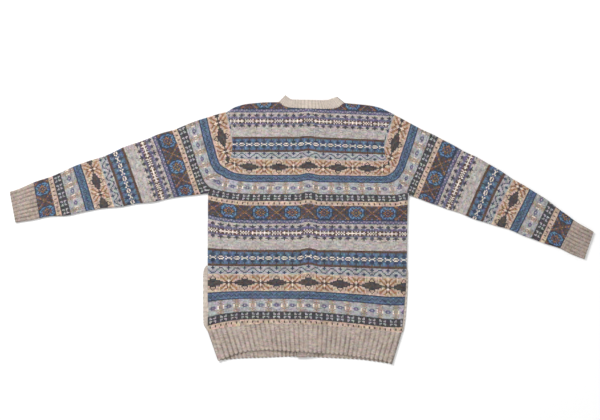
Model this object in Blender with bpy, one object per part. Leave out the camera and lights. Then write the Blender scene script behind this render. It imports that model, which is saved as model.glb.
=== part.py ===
"""Nordic cardigan, laid face down and flat: knitted panels, ribs, front bands and buttons.

The tables are in millimetres and the scene is in metres. +X runs to the wearer's right,
+Y runs to the neck and +Z up from the surface, so the back is on top and the two fronts,
with their buttons, are underneath. Every piece is a closed wall of cloth: a sheet whose
folded sides turn down to the middle plane, or a flattened tube for a sleeve or a cuff.
"""

import math
from collections import namedtuple

import bpy
import numpy as np

CLOTH = 2.6  # thickness of the knitted wall
AIR = 0.4  # clearance between two layers that lie on each other
SEAM = 0.35  # clearance between two pieces that are sewn together
HEIGHT = 2 * CLOTH + AIR  # the garment's two layers
MID = HEIGHT / 2
FOLD_OUT = HEIGHT / 2  # outer and inner radius of a folded side
FOLD_IN = AIR / 2
FOLD_STEPS = (0, 30, 60, 90)  # degrees from the folded edge to the flat
LAYER = CLOTH + AIR  # the rise of a layer that lies on another

# The body's outline, from the hem rib's seam (share 0) to the shoulder tip (share 1).
SideRow = namedtuple("SideRow", "share left right")
SIDES = (
    SideRow(0.0000, -261.0, 244.0),
    SideRow(0.1174, -261.0, 250.5),
    SideRow(0.2155, -261.0, 255.0),
    SideRow(0.3233, -261.0, 257.0),
    SideRow(0.5096, -260.5, 258.5),
    SideRow(0.6298, -260.0, 260.0),
    SideRow(0.6641, -246.0, 248.0),
    SideRow(0.6982, -231.5, 234.0),
    SideRow(0.7333, -217.5, 220.5),
    SideRow(0.7684, -207.0, 210.0),
    SideRow(0.8035, -199.5, 201.5),
    SideRow(0.8448, -196.5, 198.5),
    SideRow(0.8859, -197.0, 199.5),
    SideRow(0.9148, -198.8, 203.0),
    SideRow(0.9439, -201.5, 208.0),
    SideRow(0.9719, -205.5, 214.5),
    SideRow(1.0000, -211.0, 222.0),
)
UNDERARM = 0.6298  # share of the height where the armhole starts
SIDE_SEAM_END = 0.6077  # share where the folded side starts to open into the armhole

# Lines across the body: the shoulders and the neck, the rib's seam and the two hems.
LinePoint = namedtuple("LinePoint", "x y")
TOP_EDGE = (
    LinePoint(-211.0, 632.0),
    LinePoint(-188.5, 645.0),
    LinePoint(-161.0, 652.6),
    LinePoint(-133.6, 655.5),
    LinePoint(-106.6, 657.3),
    LinePoint(-76.7, 657.5),
    LinePoint(-61.0, 647.0),
    LinePoint(-46.0, 643.2),
    LinePoint(-20.0, 641.7),
    LinePoint(13.0, 640.6),
    LinePoint(44.0, 639.8),
    LinePoint(62.0, 640.2),
    LinePoint(78.0, 643.8),
    LinePoint(96.0, 655.0),
    LinePoint(119.6, 653.0),
    LinePoint(156.0, 649.5),
    LinePoint(183.6, 644.0),
    LinePoint(222.0, 627.0),
)
NECK_LEFT = -76.7
NECK_RIGHT = 96.0
BACK_SEAM = (
    LinePoint(-261.0, 62.5),
    LinePoint(-226.0, 70.0),
    LinePoint(-190.0, 74.0),
    LinePoint(-166.0, 78.0),
    LinePoint(-107.0, 81.5),
    LinePoint(-29.0, 80.5),
    LinePoint(57.0, 76.0),
    LinePoint(127.0, 70.5),
    LinePoint(203.0, 62.0),
    LinePoint(244.0, 58.0),
)
FRONT_SEAM = (
    LinePoint(-261.0, 62.5),
    LinePoint(-13.0, 70.0),
    LinePoint(244.0, 58.0),
)
BACK_HEM = (
    LinePoint(-234.0, -15.6),
    LinePoint(-223.6, -12.6),
    LinePoint(-202.8, -3.6),
    LinePoint(-176.8, 5.5),
    LinePoint(-144.3, 10.4),
    LinePoint(-106.6, 12.0),
    LinePoint(-33.8, 9.1),
    LinePoint(18.2, 5.5),
    LinePoint(57.2, 3.1),
    LinePoint(104.0, -1.8),
    LinePoint(153.4, -9.1),
    LinePoint(189.8, -14.0),
    LinePoint(219.0, -23.5),
)
FRONT_HEM = (
    LinePoint(-234.0, -15.6),
    LinePoint(-213.2, -13.0),
    LinePoint(-176.8, -9.6),
    LinePoint(-106.6, -7.3),
    LinePoint(-33.8, -4.5),
    LinePoint(28.6, -6.8),
    LinePoint(78.0, -9.1),
    LinePoint(127.4, -11.7),
    LinePoint(178.1, -17.9),
    LinePoint(219.0, -24.2),
)
HEM_LEFT = -234.0  # the hem rib's side at its lower edge
HEM_RIGHT = 219.0

# The back part of the neckband: each row is a place on the neck seam and one on its free edge.
NeckRow = namedtuple("NeckRow", "seam_x free_x free_y")
NECKBAND = (
    NeckRow(-76.7, -58.5, 676.0),
    NeckRow(-61.0, -51.0, 669.5),
    NeckRow(-46.0, -42.0, 665.0),
    NeckRow(-20.0, -20.0, 664.0),
    NeckRow(13.0, 13.0, 663.5),
    NeckRow(44.0, 36.0, 663.0),
    NeckRow(62.0, 50.0, 663.6),
    NeckRow(78.0, 61.5, 667.0),
    NeckRow(96.0, 76.0, 671.5),
)

# The front bands lie on each other from the hem to the bottom of the V, then part.
BAND_WIDTH = 26.0
BAND_LOW_Y = -6.0  # lower end of both bands
BAND_AT_HEM_X = -16.0  # middle of the bands at y = 0
BAND_STRAIGHT_Y = 450.0  # height where their middle line crosses x = 0
V_BOTTOM_Y = 400.0
V_CURVE = 1.2  # 1 is a straight V
BandTop = namedtuple("BandTop", "seam_x seam_y free_x free_y")
BAND_TOP_LEFT = BandTop(-76.7, 657.5, -58.5, 676.0)
BAND_TOP_RIGHT = BandTop(96.0, 655.0, 76.0, 671.5)

# The buttons lie under the bands, which rise over each one.
BUTTONS = 6
BUTTON_PITCH = 77.0
BUTTON_FIRST_Y = 20.0
BUTTON_RADIUS = 10.0
BUTTON_THICKNESS = 3.0
BUTTON_LIFT = BUTTON_THICKNESS + AIR
BUTTON_REACH = (12.0, 36.0)  # along the band: risen up to the first, flat beyond the second
BUTTON_SPREAD = (16.0, 46.0)  # the same across the fronts
BUTTON_SIDES = 24
BUTTON_BEVEL = 0.7
THREAD_HOLES = 4
THREAD_HOLE_RADIUS = 1.1
THREAD_HOLE_OFFSET = 2.3  # from the button's middle
THREAD_HOLE_SIDES = 8
DISH_RADIUS = 6.4
DISH_DEPTH = 0.8
DISH_SIDES = 20

# The right band lies on the left one: the right front climbs to it, and the back over both.
CLIMB_WIDTH = 35.0
BAND_FALL = (458.0, 505.0)  # heights between which the right band sinks to the lower layer
RIDGE_ACROSS = (22.0, 80.0)  # half widths of the back's ridge: its top and its foot
RIDGE_BAND_FALL = (462.0, 530.0)
RIDGE_BUTTON_FALL = (420.0, 475.0)
RIDGE_COLUMNS = (-34.0, -4.0, 28.0)  # more columns of the back, so that the ridge runs smooth
FRONT_COLUMNS = (0.25, 0.50, 0.70, 0.82, 0.88, 0.92, 0.96)  # closer towards the band
CUFF_COLUMNS = (0.25, 0.50, 0.75)
LEAST_STEP = 0.006  # share of the height below which two rows would crowd each other

# Side pockets: a plain welt along each side seam, at the level of the fronts.
WeltRow = namedtuple("WeltRow", "outer_x outer_y inner_y")
WELT_LEFT = (
    WeltRow(-263.0, 63.4, 63.4),
    WeltRow(-272.0, 84.0, 88.0),
    WeltRow(-272.7, 136.0, 136.0),
    WeltRow(-272.7, 206.0, 204.0),
    WeltRow(-270.5, 222.0, 219.0),
    WeltRow(-265.0, 232.0, 231.0),
)
WELT_RIGHT = (
    WeltRow(247.5, 59.0, 59.0),
    WeltRow(252.0, 82.0, 84.0),
    WeltRow(257.0, 136.0, 136.0),
    WeltRow(260.0, 200.0, 200.0),
    WeltRow(260.0, 216.0, 216.0),
    WeltRow(257.5, 227.0, 227.0),
)
WELT_LEFT_INNER = -247.5
WELT_RIGHT_INNER = (230.0, 243.0)  # at its lower and its upper end
NOTCH_RUN = 8.0  # height over which the front's side comes back out above the welt

# Sleeves and cuffs: where the fold lines end, and how far the upper one bows outwards.
CuffLine = namedtuple("CuffLine", "top_x top_y low_x low_y")
SleeveShape = namedtuple("SleeveShape", "junction end bow bow_place")
SLEEVE_LEFT = SleeveShape(
    CuffLine(-714.0, 448.0, -698.0, 355.0), CuffLine(-776.0, 423.3, -761.0, 343.5), 6.0, 0.30
)
SLEEVE_RIGHT = SleeveShape(
    CuffLine(691.0, 351.5, 655.7, 276.6), CuffLine(743.0, 317.5, 719.0, 250.0), 14.0, 0.62
)
SLEEVE_RINGS = 12
CUFF_RINGS = 2

# The finishes.
Finish = namedtuple("Finish", "colour roughness")
OATMEAL = Finish((0.50, 0.43, 0.36), 0.90)
PATTERN = Finish((0.31, 0.31, 0.33), 0.90)
HORN = Finish((0.16, 0.10, 0.06), 0.35)


# --- Small helpers -------------------------------------------------------------------------


def mix(low, high, share):
    return low + (high - low) * share


def smooth(value, start, end):
    """0 up to start, 1 from end, with a soft turn at both."""
    share = min(max((value - start) / (end - start), 0.0), 1.0)
    return share * share * (3 - 2 * share)


def line_y(line, x):
    return float(np.interp(x, [p.x for p in line], [p.y for p in line]))


def column(rows, name, share):
    """A named column of a table whose rows are evenly numbered, read at a share of its length."""
    places = np.linspace(0, 1, len(rows))
    return float(np.interp(share, places, [getattr(row, name) for row in rows]))


def side_x(share, name):
    return float(np.interp(share, [row.share for row in SIDES], [getattr(row, name) for row in SIDES]))


# --- Lifts: how far the layers below raise each piece ------------------------------------------


def band_middle(y):
    return BAND_AT_HEM_X * (1 - y / BAND_STRAIGHT_Y)


def button_rise(y):
    """Rise over the nearest button, along the bands."""
    nearest = min(abs(y - BUTTON_FIRST_Y - k * BUTTON_PITCH) for k in range(BUTTONS))
    return BUTTON_LIFT * (1 - smooth(nearest, *BUTTON_REACH))


def button_lift(x, y):
    return button_rise(y) * (1 - smooth(abs(x - band_middle(y)), *BUTTON_SPREAD))


def band_lift(y):
    """Rise of the right band, which lies on the left one up to the V."""
    return LAYER * (1 - smooth(y, *BAND_FALL))


def right_front_lift(x, y):
    seam = band_edge(y, "right")[0]
    climb = 1 - smooth(x - seam, 0.0, CLIMB_WIDTH)
    return button_lift(x, y) + band_lift(y) * climb


def right_band_lift(x, y):
    return button_lift(x, y) + band_lift(y)


def ridge_lift(x, y):
    across = 1 - smooth(abs(x - band_middle(min(y, BAND_STRAIGHT_Y))), *RIDGE_ACROSS)
    over_bands = LAYER * (1 - smooth(y, *RIDGE_BAND_FALL))
    over_buttons = BUTTON_LIFT * (1 - smooth(y, *RIDGE_BUTTON_FALL))
    return across * (over_bands + over_buttons)


def no_lift(x, y):
    return 0.0


# --- The bands' two edges ------------------------------------------------------------------


def band_edge(y, hand):
    """x of the seam edge at a height, and the matching point (x, y) on the free edge."""
    top = BAND_TOP_LEFT if hand == "left" else BAND_TOP_RIGHT
    out = -BAND_WIDTH / 2 if hand == "left" else BAND_WIDTH / 2
    if y <= V_BOTTOM_Y:
        return band_middle(y) + out, band_middle(y) - out, y
    rise = (y - V_BOTTOM_Y) / (top.seam_y - V_BOTTOM_Y)
    part = rise**V_CURVE
    foot = band_middle(V_BOTTOM_Y)
    seam_x = mix(foot + out, top.seam_x, part)
    free_x = mix(foot - out, top.free_x, part)
    return seam_x, free_x, mix(V_BOTTOM_Y, top.free_y, rise)


# --- A sheet: two surfaces one wall apart, with folded or cut sides --------------------------


def grid_lines(stops, folded_low, folded_high):
    """Lines across a sheet, as (place, side, angle): a folded side takes one for each step."""
    low = [(0.0, -1, a) for a in FOLD_STEPS] if folded_low else [(0.0, 0, 90)]
    high = [(1.0, 1, a) for a in reversed(FOLD_STEPS)] if folded_high else [(1.0, 0, 90)]
    return low + [(stop, 0, 90) for stop in stops] + high


def line_place(line, span, wrap, inner):
    """Where a grid line runs, as a share of the span, on the outer or the inner surface."""
    place, side, angle = line
    if side == 0:
        return place
    cosine = math.cos(math.radians(angle))
    inset = FOLD_OUT * (1 - cosine)
    if inner:
        inset = mix(inset, FOLD_OUT - FOLD_IN * cosine, wrap)
    return inset / span if side < 0 else 1 - inset / span


def line_drop(line, wrap):
    """Share of the fold's height that the line has lost: 1 at a folded edge."""
    return wrap * (1 - math.sin(math.radians(line[2]))) if line[1] else 0.0


def distance(a, b):
    return math.hypot(a[0] - b[0], a[1] - b[1])


def sheet(plan, u_lines, v_lines, wrap_u, wrap_v, lift, on_top):
    """Points and faces of a sheet.

    plan(u, v) gives x and y. wrap_u(v, side) and wrap_v(u, side) say how far a folded side
    turns over there, from 0, a cut edge, to 1. on_top picks the back's layer or the fronts'.
    """
    points = []
    for inner in (False, True):
        radius = FOLD_IN if inner else FOLD_OUT
        for v_line in v_lines:
            for u_line in u_lines:
                u, v = u_line[0], v_line[0]
                bend_u = wrap_u(v, u_line[1])
                bend_v = wrap_v(u, v_line[1])
                span_u = distance(plan(0, v), plan(1, v))
                span_v = distance(plan(u, 0), plan(u, 1))
                x, y = plan(
                    line_place(u_line, span_u, bend_u, inner),
                    line_place(v_line, span_v, bend_v, inner),
                )
                rise = radius * (1 - line_drop(u_line, bend_u)) * (1 - line_drop(v_line, bend_v))
                rise = max(rise, SEAM / 2)
                points.append((x, y, MID + (rise if on_top else -rise) + lift(x, y)))
    return points, shell_faces(len(u_lines), len(v_lines))


def shell_faces(columns, rows):
    """Quads of the outer grid, the inner grid turned over, and the wall between their edges."""
    inner = columns * rows

    def corner(i, j):
        return j * columns + i

    faces = []
    for j in range(rows - 1):
        for i in range(columns - 1):
            quad = (corner(i, j), corner(i + 1, j), corner(i + 1, j + 1), corner(i, j + 1))
            faces.append(quad)
            faces.append(tuple(inner + k for k in reversed(quad)))
    rim = [corner(i, 0) for i in range(columns)]
    rim += [corner(columns - 1, j) for j in range(1, rows)]
    rim += [corner(i, rows - 1) for i in range(columns - 2, -1, -1)]
    rim += [corner(0, j) for j in range(rows - 2, 0, -1)]
    for a, b in zip(rim, rim[1:] + rim[:1]):
        faces.append((b, a, inner + a, inner + b))
    return faces


# --- A tube: a sleeve or a cuff pressed flat ---------------------------------------------------


def tube(ring_point, stops, rings):
    """Points and faces of a flattened tube.

    ring_point(t, s) gives x and y, with t from the upper fold to the lower one and s along the
    tube. Each ring runs over the top layer, round the lower fold, back under and round the
    upper fold.
    """
    half = [(1.0, 1, a) for a in reversed(FOLD_STEPS)]
    half += [(1.0, 1, -a) for a in FOLD_STEPS[1:]]
    loop = [(stop, 0, 90) for stop in stops] + half
    loop += [(stop, 0, -90) for stop in reversed(stops)]
    loop += [(0.0, -1, -a) for a in reversed(FOLD_STEPS)]
    loop += [(0.0, -1, a) for a in FOLD_STEPS[1:]]
    points = []
    for inner in (False, True):
        radius = FOLD_IN if inner else FOLD_OUT
        for s in rings:
            span = distance(ring_point(0, s), ring_point(1, s))
            for line in loop:
                x, y = ring_point(line_place(line, span, 1.0, inner), s)
                points.append((x, y, MID + radius * math.sin(math.radians(line[2]))))
    return points, tube_faces(len(loop), len(rings))


def tube_faces(around, rings):
    inner = around * rings
    faces = []
    for j in range(rings - 1):
        for i in range(around):
            k = (i + 1) % around
            quad = (j * around + i, j * around + k, (j + 1) * around + k, (j + 1) * around + i)
            faces.append(quad)
            faces.append(tuple(inner + p for p in reversed(quad)))
    last = (rings - 1) * around
    for i in range(around):
        k = (i + 1) % around
        faces.append((k, i, inner + i, inner + k))
        faces.append((last + i, last + k, inner + last + k, inner + last + i))
    return faces


# --- Plans of the body's pieces ------------------------------------------------------------


def body_point(u, v):
    """The back: u across from the left side, v from the rib's seam to the shoulder and neck."""
    x = mix(side_x(v, "left"), side_x(v, "right"), u)
    low = line_y(BACK_SEAM, mix(BACK_SEAM[0].x, BACK_SEAM[-1].x, u))
    high = line_y(TOP_EDGE, mix(TOP_EDGE[0].x, TOP_EDGE[-1].x, u))
    return x, mix(low, high, v)


def front_rows(hand):
    """Lowest and highest place of the seam between a front and its band."""
    out = -BAND_WIDTH / 2 if hand == "left" else BAND_WIDTH / 2
    low = line_y(FRONT_SEAM, band_middle(FRONT_SEAM[0].y) + out)
    top = BAND_TOP_LEFT if hand == "left" else BAND_TOP_RIGHT
    return low, top.seam_y


def welt_notch(side, y, hand):
    """The front's side gives way to the pocket welt, and comes back out above it."""
    if hand == "left":
        inner = WELT_LEFT_INNER + SEAM
        top = WELT_LEFT[-1].inner_y + SEAM
    else:
        low, high = WELT_RIGHT[0].inner_y, WELT_RIGHT[-1].inner_y
        inner = float(np.interp(y, (low, high), WELT_RIGHT_INNER)) - SEAM
        top = high + SEAM
    return mix(inner, side, min(max((y - top) / NOTCH_RUN, 0.0), 1.0))


def front_point(hand):
    """A front: u from the side to the band, v from the rib's seam to the shoulder."""
    low_y, high_y = front_rows(hand)
    side_end = 0 if hand == "left" else -1
    neck = NECK_LEFT if hand == "left" else NECK_RIGHT
    gap = -SEAM if hand == "left" else SEAM

    def ends(v):
        side_y = mix(FRONT_SEAM[side_end].y, TOP_EDGE[side_end].y, v)
        side = welt_notch(side_x(v, hand), side_y, hand)
        return side, band_edge(mix(low_y, high_y, v), hand)[0] + gap

    def plan(u, v):
        low = line_y(FRONT_SEAM, mix(*ends(0), u))
        high = line_y(TOP_EDGE, mix(TOP_EDGE[side_end].x, neck, u))
        return mix(*ends(v), u), mix(low, high, v)

    return plan


def rib_point(u, v):
    """The back's rib: its upper edge follows the back's lower one."""
    top_x, top_y = body_point(u, 0)
    low_x = mix(HEM_LEFT, HEM_RIGHT, u)
    return mix(low_x, top_x, v), mix(line_y(BACK_HEM, low_x), top_y - SEAM, v)


def front_rib_point(hand):
    """A front's rib, from the side seam to the band."""
    side_end = 0 if hand == "left" else -1
    hem_side = HEM_LEFT if hand == "left" else HEM_RIGHT
    gap = -SEAM if hand == "left" else SEAM
    low_y, _ = front_rows(hand)

    def plan(u, v):
        low_x = mix(hem_side, band_edge(BAND_LOW_Y, hand)[0] + gap, u)
        top_x = mix(FRONT_SEAM[side_end].x, band_edge(low_y, hand)[0] + gap, u)
        return mix(low_x, top_x, v), mix(line_y(FRONT_HEM, low_x), line_y(FRONT_SEAM, top_x) - SEAM, v)

    return plan


def band_point(hand, rows):
    """A front band: u from the seam edge to the free edge, v by row from the hem to the neck."""

    def plan(u, v):
        y = float(np.interp(v, np.linspace(0, 1, len(rows)), rows))
        seam_x, free_x, free_y = band_edge(y, hand)
        return mix(seam_x, free_x, u), mix(y, free_y, u)

    return plan


def neckband_point(u, v):
    """The back of the neckband, from the neck seam to its free edge."""
    seam_x = column(NECKBAND, "seam_x", u)
    seam_y = line_y(TOP_EDGE, seam_x) + SEAM
    free_x = column(NECKBAND, "free_x", u)
    free_y = column(NECKBAND, "free_y", u)
    return mix(seam_x, free_x, v), mix(seam_y, free_y, v)


def welt_point(rows, inner_x):
    """A pocket welt: u from the garment's side inwards, v from its lower end up."""

    def plan(u, v):
        outer_x = column(rows, "outer_x", v)
        y = mix(column(rows, "outer_y", v), column(rows, "inner_y", v), u)
        return mix(outer_x, inner_x(y), u), y

    return plan


def sleeve_point(shape, hand):
    """A sleeve: t from the upper fold to the lower one, s from the armhole to the cuff."""
    side_end = 0 if hand == "left" else -1
    gap = -SEAM if hand == "left" else SEAM
    low_y, high_y = BACK_SEAM[side_end].y, TOP_EDGE[side_end].y
    tip = (side_x(1, hand), high_y)
    wrist = (shape.junction.top_x, shape.junction.top_y)
    length = distance(tip, wrist)
    out_x = abs(wrist[1] - tip[1]) / length * (-1 if hand == "left" else 1)
    out_y = abs(wrist[0] - tip[0]) / length

    def plan(t, s):
        share = mix(1, UNDERARM, t)
        start_x, start_y = side_x(share, hand) + gap, mix(low_y, high_y, share)
        end_x = mix(shape.junction.top_x, shape.junction.low_x, t)
        end_y = mix(shape.junction.top_y, shape.junction.low_y, t)
        bow = shape.bow * math.sin(math.pi * s ** bow_power(shape.bow_place)) * (1 - t)
        return mix(start_x, end_x, s) + bow * out_x, mix(start_y, end_y, s) + bow * out_y

    return plan


def bow_power(place):
    """Power that puts the highest point of the bow at a place along the sleeve."""
    return math.log(0.5) / math.log(place)


def cuff_point(shape):
    """A cuff, from its seam with the sleeve to its end."""
    start, end = shape.junction, shape.end
    step = SEAM / distance((start.top_x, start.top_y), (end.top_x, end.top_y))

    def plan(t, s):
        s = mix(step, 1, s)
        start_x, start_y = mix(start.top_x, start.low_x, t), mix(start.top_y, start.low_y, t)
        end_x, end_y = mix(end.top_x, end.low_x, t), mix(end.top_y, end.low_y, t)
        return mix(start_x, end_x, s), mix(start_y, end_y, s)

    return plan


# --- Where each piece has its rows and columns -------------------------------------------------


def inner_stops(places, low, high):
    """The shares between 0 and 1 of places that lie between low and high."""
    shares = sorted((place - low) / (high - low) for place in places)
    return [share for share in shares if LEAST_STEP / 2 < share < 1 - LEAST_STEP / 2]


def button_rows(low, high):
    """Heights where the rise over a button starts, turns and ends."""
    flat, foot = BUTTON_REACH
    offsets = (-foot, -mix(flat, foot, 0.5), -flat, flat, mix(flat, foot, 0.5), foot)
    rows = [BUTTON_FIRST_Y + k * BUTTON_PITCH + o for k in range(BUTTONS) for o in offsets]
    return [y for y in rows if low < y < high]


def armhole_shares():
    return [row.share for row in SIDES if UNDERARM <= row.share < 1]


def front_stops(hand):
    """Rows of a front: the armhole's, the notch's, and the buttons' at the band."""
    low, high = front_rows(hand)
    side_low, side_high = FRONT_SEAM[0].y, TOP_EDGE[0].y
    if hand == "right":
        side_low, side_high = FRONT_SEAM[-1].y, TOP_EDGE[-1].y
    welt = WELT_LEFT if hand == "left" else WELT_RIGHT
    notch = (welt[-1].inner_y + SEAM, welt[-1].inner_y + SEAM + NOTCH_RUN)
    fixed = armhole_shares() + [(y - side_low) / (side_high - side_low) for y in notch]
    fixed += [SIDE_SEAM_END]
    near = inner_stops(button_rows(low, high), low, high)
    near = [share for share in near if min(abs(share - f) for f in fixed) > LEAST_STEP]
    return sorted(near + fixed)


# --- Making the pieces -------------------------------------------------------------------------

MADE = {}  # name -> (points in mm, faces, finish)


def keep(name, points, faces, finish):
    MADE[name] = (np.array(points), faces, finish)


def fold_side(v, side):
    """A folded side seam, which opens into the armhole."""
    return 1 - smooth(v, SIDE_SEAM_END, UNDERARM)


def whole_fold(place, side):
    return 1.0


def cut(place, side):
    return 0.0


def shoulder_fold(neck_low, neck_high):
    """The shoulders are folded and the neck between them is a cut edge."""

    def wrap(u, side):
        return 0.0 if neck_low - LEAST_STEP / 2 < u < neck_high + LEAST_STEP / 2 else 1.0

    return wrap


def make_back():
    left, right = TOP_EDGE[0].x, TOP_EDGE[-1].x
    columns = inner_stops([*(p.x for p in TOP_EDGE), *RIDGE_COLUMNS], left, right)
    rows = [row.share for row in SIDES[1:-1]] + [SIDE_SEAM_END]
    u_lines = grid_lines(columns, True, True)
    v_lines = grid_lines(sorted(rows), False, True)
    neck = [(x - left) / (right - left) for x in (NECK_LEFT, NECK_RIGHT)]
    keep(
        "back",
        *sheet(body_point, u_lines, v_lines, fold_side, shoulder_fold(*neck), ridge_lift, True),
        PATTERN,
    )
    keep(
        "hem_rib_back",
        *sheet(rib_point, u_lines, grid_lines([0.5], False, False), whole_fold, cut, ridge_lift, True),
        OATMEAL,
    )


def make_front(hand):
    lift = button_lift if hand == "left" else right_front_lift
    u_lines = grid_lines(FRONT_COLUMNS, True, False)
    v_lines = grid_lines(front_stops(hand), False, True)
    low, high = front_rows(hand)
    welt_top = (WELT_LEFT if hand == "left" else WELT_RIGHT)[-1].inner_y + SEAM

    def wrap(v, side):
        if mix(FRONT_SEAM[0].y, TOP_EDGE[0].y, v) < welt_top + NOTCH_RUN:
            return 0.0
        return fold_side(v, side)

    keep(
        f"front_{hand}",
        *sheet(front_point(hand), u_lines, v_lines, wrap, whole_fold, lift, False),
        PATTERN,
    )
    rib_rows = inner_stops(button_rows(BAND_LOW_Y, low), BAND_LOW_Y, low)
    rib_lines = grid_lines(rib_rows, False, False)
    keep(
        f"hem_rib_front_{hand}",
        *sheet(front_rib_point(hand), u_lines, rib_lines, whole_fold, cut, lift, False),
        OATMEAL,
    )


def make_band(hand):
    lift = button_lift if hand == "left" else right_band_lift
    low, high = front_rows(hand)
    heights = [BAND_LOW_Y] + button_rows(BAND_LOW_Y, low - 2) + [low]
    heights += [mix(low, high, share) for share in front_stops(hand)] + [high]
    inner = [k / (len(heights) - 1) for k in range(1, len(heights) - 1)]
    keep(
        f"band_{hand}",
        *sheet(
            band_point(hand, heights),
            grid_lines([0.5], False, False),
            grid_lines(inner, False, True),
            cut,
            whole_fold,
            lift,
            False,
        ),
        OATMEAL,
    )


def make_neckband():
    inner = [k / (len(NECKBAND) - 1) for k in range(1, len(NECKBAND) - 1)]
    u_lines = grid_lines(inner, True, True)
    v_lines = grid_lines([0.5], False, False)
    keep("neckband", *sheet(neckband_point, u_lines, v_lines, whole_fold, cut, no_lift, True), OATMEAL)


def make_welts():
    def left_inner(y):
        return WELT_LEFT_INNER

    def right_inner(y):
        return float(np.interp(y, (WELT_RIGHT[0].inner_y, WELT_RIGHT[-1].inner_y), WELT_RIGHT_INNER))

    for hand, rows, inner_x in (("left", WELT_LEFT, left_inner), ("right", WELT_RIGHT, right_inner)):
        inner = [k / (len(rows) - 1) for k in range(1, len(rows) - 1)]
        u_lines = grid_lines([], False, False)
        v_lines = grid_lines(inner, False, False)
        keep(
            f"pocket_welt_{hand}",
            *sheet(welt_point(rows, inner_x), u_lines, v_lines, cut, cut, no_lift, False),
            OATMEAL,
        )


def make_sleeve(hand, shape):
    stops = sorted((1 - share) / (1 - UNDERARM) for share in armhole_shares())[:-1]
    rings = [k / SLEEVE_RINGS for k in range(SLEEVE_RINGS + 1)]
    keep(f"sleeve_{hand}", *tube(sleeve_point(shape, hand), stops, rings), PATTERN)
    rings = [k / CUFF_RINGS for k in range(CUFF_RINGS + 1)]
    keep(f"cuff_{hand}", *tube(cuff_point(shape), CUFF_COLUMNS, rings), OATMEAL)


def make_button(number):
    """A round button, dished on the face that lies on the surface, with four thread holes."""
    y = BUTTON_FIRST_Y + (number - 1) * BUTTON_PITCH
    bpy.ops.mesh.primitive_cylinder_add(
        vertices=BUTTON_SIDES, radius=BUTTON_RADIUS, depth=BUTTON_THICKNESS
    )
    button = bpy.context.object
    bevel = button.modifiers.new("rim", "BEVEL")
    bevel.width = BUTTON_BEVEL
    bevel.limit_method = "ANGLE"
    cutters = [(DISH_SIDES, DISH_RADIUS, DISH_DEPTH, 0.0, 0.0)]
    for turn in range(THREAD_HOLES):
        angle = math.tau * (turn + 0.5) / THREAD_HOLES
        place = (THREAD_HOLE_OFFSET * math.cos(angle), THREAD_HOLE_OFFSET * math.sin(angle))
        cutters.append((THREAD_HOLE_SIDES, THREAD_HOLE_RADIUS, 2 * BUTTON_THICKNESS, *place))
    for sides, radius, depth, x, across in cutters:
        bpy.ops.mesh.primitive_cylinder_add(
            vertices=sides,
            radius=radius,
            depth=2 * depth,
            location=(x, across, -BUTTON_THICKNESS / 2),
        )
        cutter = bpy.context.object
        hole = button.modifiers.new("hole", "BOOLEAN")
        hole.object = cutter
        cutter.hide_render = True
    graph = bpy.context.evaluated_depsgraph_get()
    mesh = button.evaluated_get(graph).to_mesh()
    points = [(v.co.x + band_middle(y), v.co.y + y, v.co.z + BUTTON_THICKNESS / 2) for v in mesh.vertices]
    faces = [tuple(face.vertices) for face in mesh.polygons]
    keep(f"button_{number}", points, faces, HORN)
    for thing in list(bpy.data.objects):
        bpy.data.objects.remove(thing)


# --- Into the scene ------------------------------------------------------------------------------


def finish_material(name, finish):
    material = bpy.data.materials.new(name)
    material.use_nodes = True
    shader = material.node_tree.nodes["Principled BSDF"]
    shader.inputs["Base Color"].default_value = (*finish.colour, 1.0)
    shader.inputs["Roughness"].default_value = finish.roughness
    shader.inputs["Metallic"].default_value = 0.0
    material.diffuse_color = (*finish.colour, 1.0)
    return material


def signed_volume(points, faces):
    total = 0.0
    for face in faces:
        first = points[face[0]]
        for a, b in zip(face[1:-1], face[2:]):
            total += float(np.dot(first, np.cross(points[a], points[b])))
    return total


def place_all():
    """Builds the objects, with the garment's lowest layer at z = 0 and its middle over the origin."""
    low = np.min([points.min(axis=0) for points, _, _ in MADE.values()], axis=0)
    high = np.max([points.max(axis=0) for points, _, _ in MADE.values()], axis=0)
    origin = np.array([(low[0] + high[0]) / 2, (low[1] + high[1]) / 2, low[2]])
    for name, (points, faces, finish) in MADE.items():
        points = points - origin
        if signed_volume(points, faces) < 0:
            faces = [tuple(reversed(face)) for face in faces]
        mesh = bpy.data.meshes.new(name)
        mesh.from_pydata((points / 1000).tolist(), [], faces)
        mesh.materials.append(finish_material(f"{name}_finish", finish))
        if finish == HORN:
            mesh.shade_smooth()
            mesh.set_sharp_from_angle(angle=math.radians(35))
        thing = bpy.data.objects.new(name, mesh)
        bpy.context.scene.collection.objects.link(thing)
    print("origin in the tables' millimetres:", origin.round(4).tolist())


def main():
    for thing in list(bpy.data.objects):
        bpy.data.objects.remove(thing)
    for number in range(1, BUTTONS + 1):
        make_button(number)
    make_back()
    for hand, shape in (("left", SLEEVE_LEFT), ("right", SLEEVE_RIGHT)):
        make_front(hand)
        make_band(hand)
        make_sleeve(hand, shape)
    make_neckband()
    make_welts()
    place_all()


main()
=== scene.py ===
"""Nordic cardigan laid face down: knitted panels, ribs, bands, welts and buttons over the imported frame.

Plans are in the pattern maker's millimetres, from the hem's level and the middle of the hem.
Meshes are in metres in the frame. +X runs to the wearer's right, +Y to the neck and +Z up from
the surface, so the back is on top and the fronts with their buttons are underneath.
"""

import logging
import math
from collections.abc import Callable, Sequence
from dataclasses import dataclass
from enum import Enum
from functools import partial
from typing import TypeVar

import bpy
import numpy as np
from mathutils import Matrix, Vector


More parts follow.
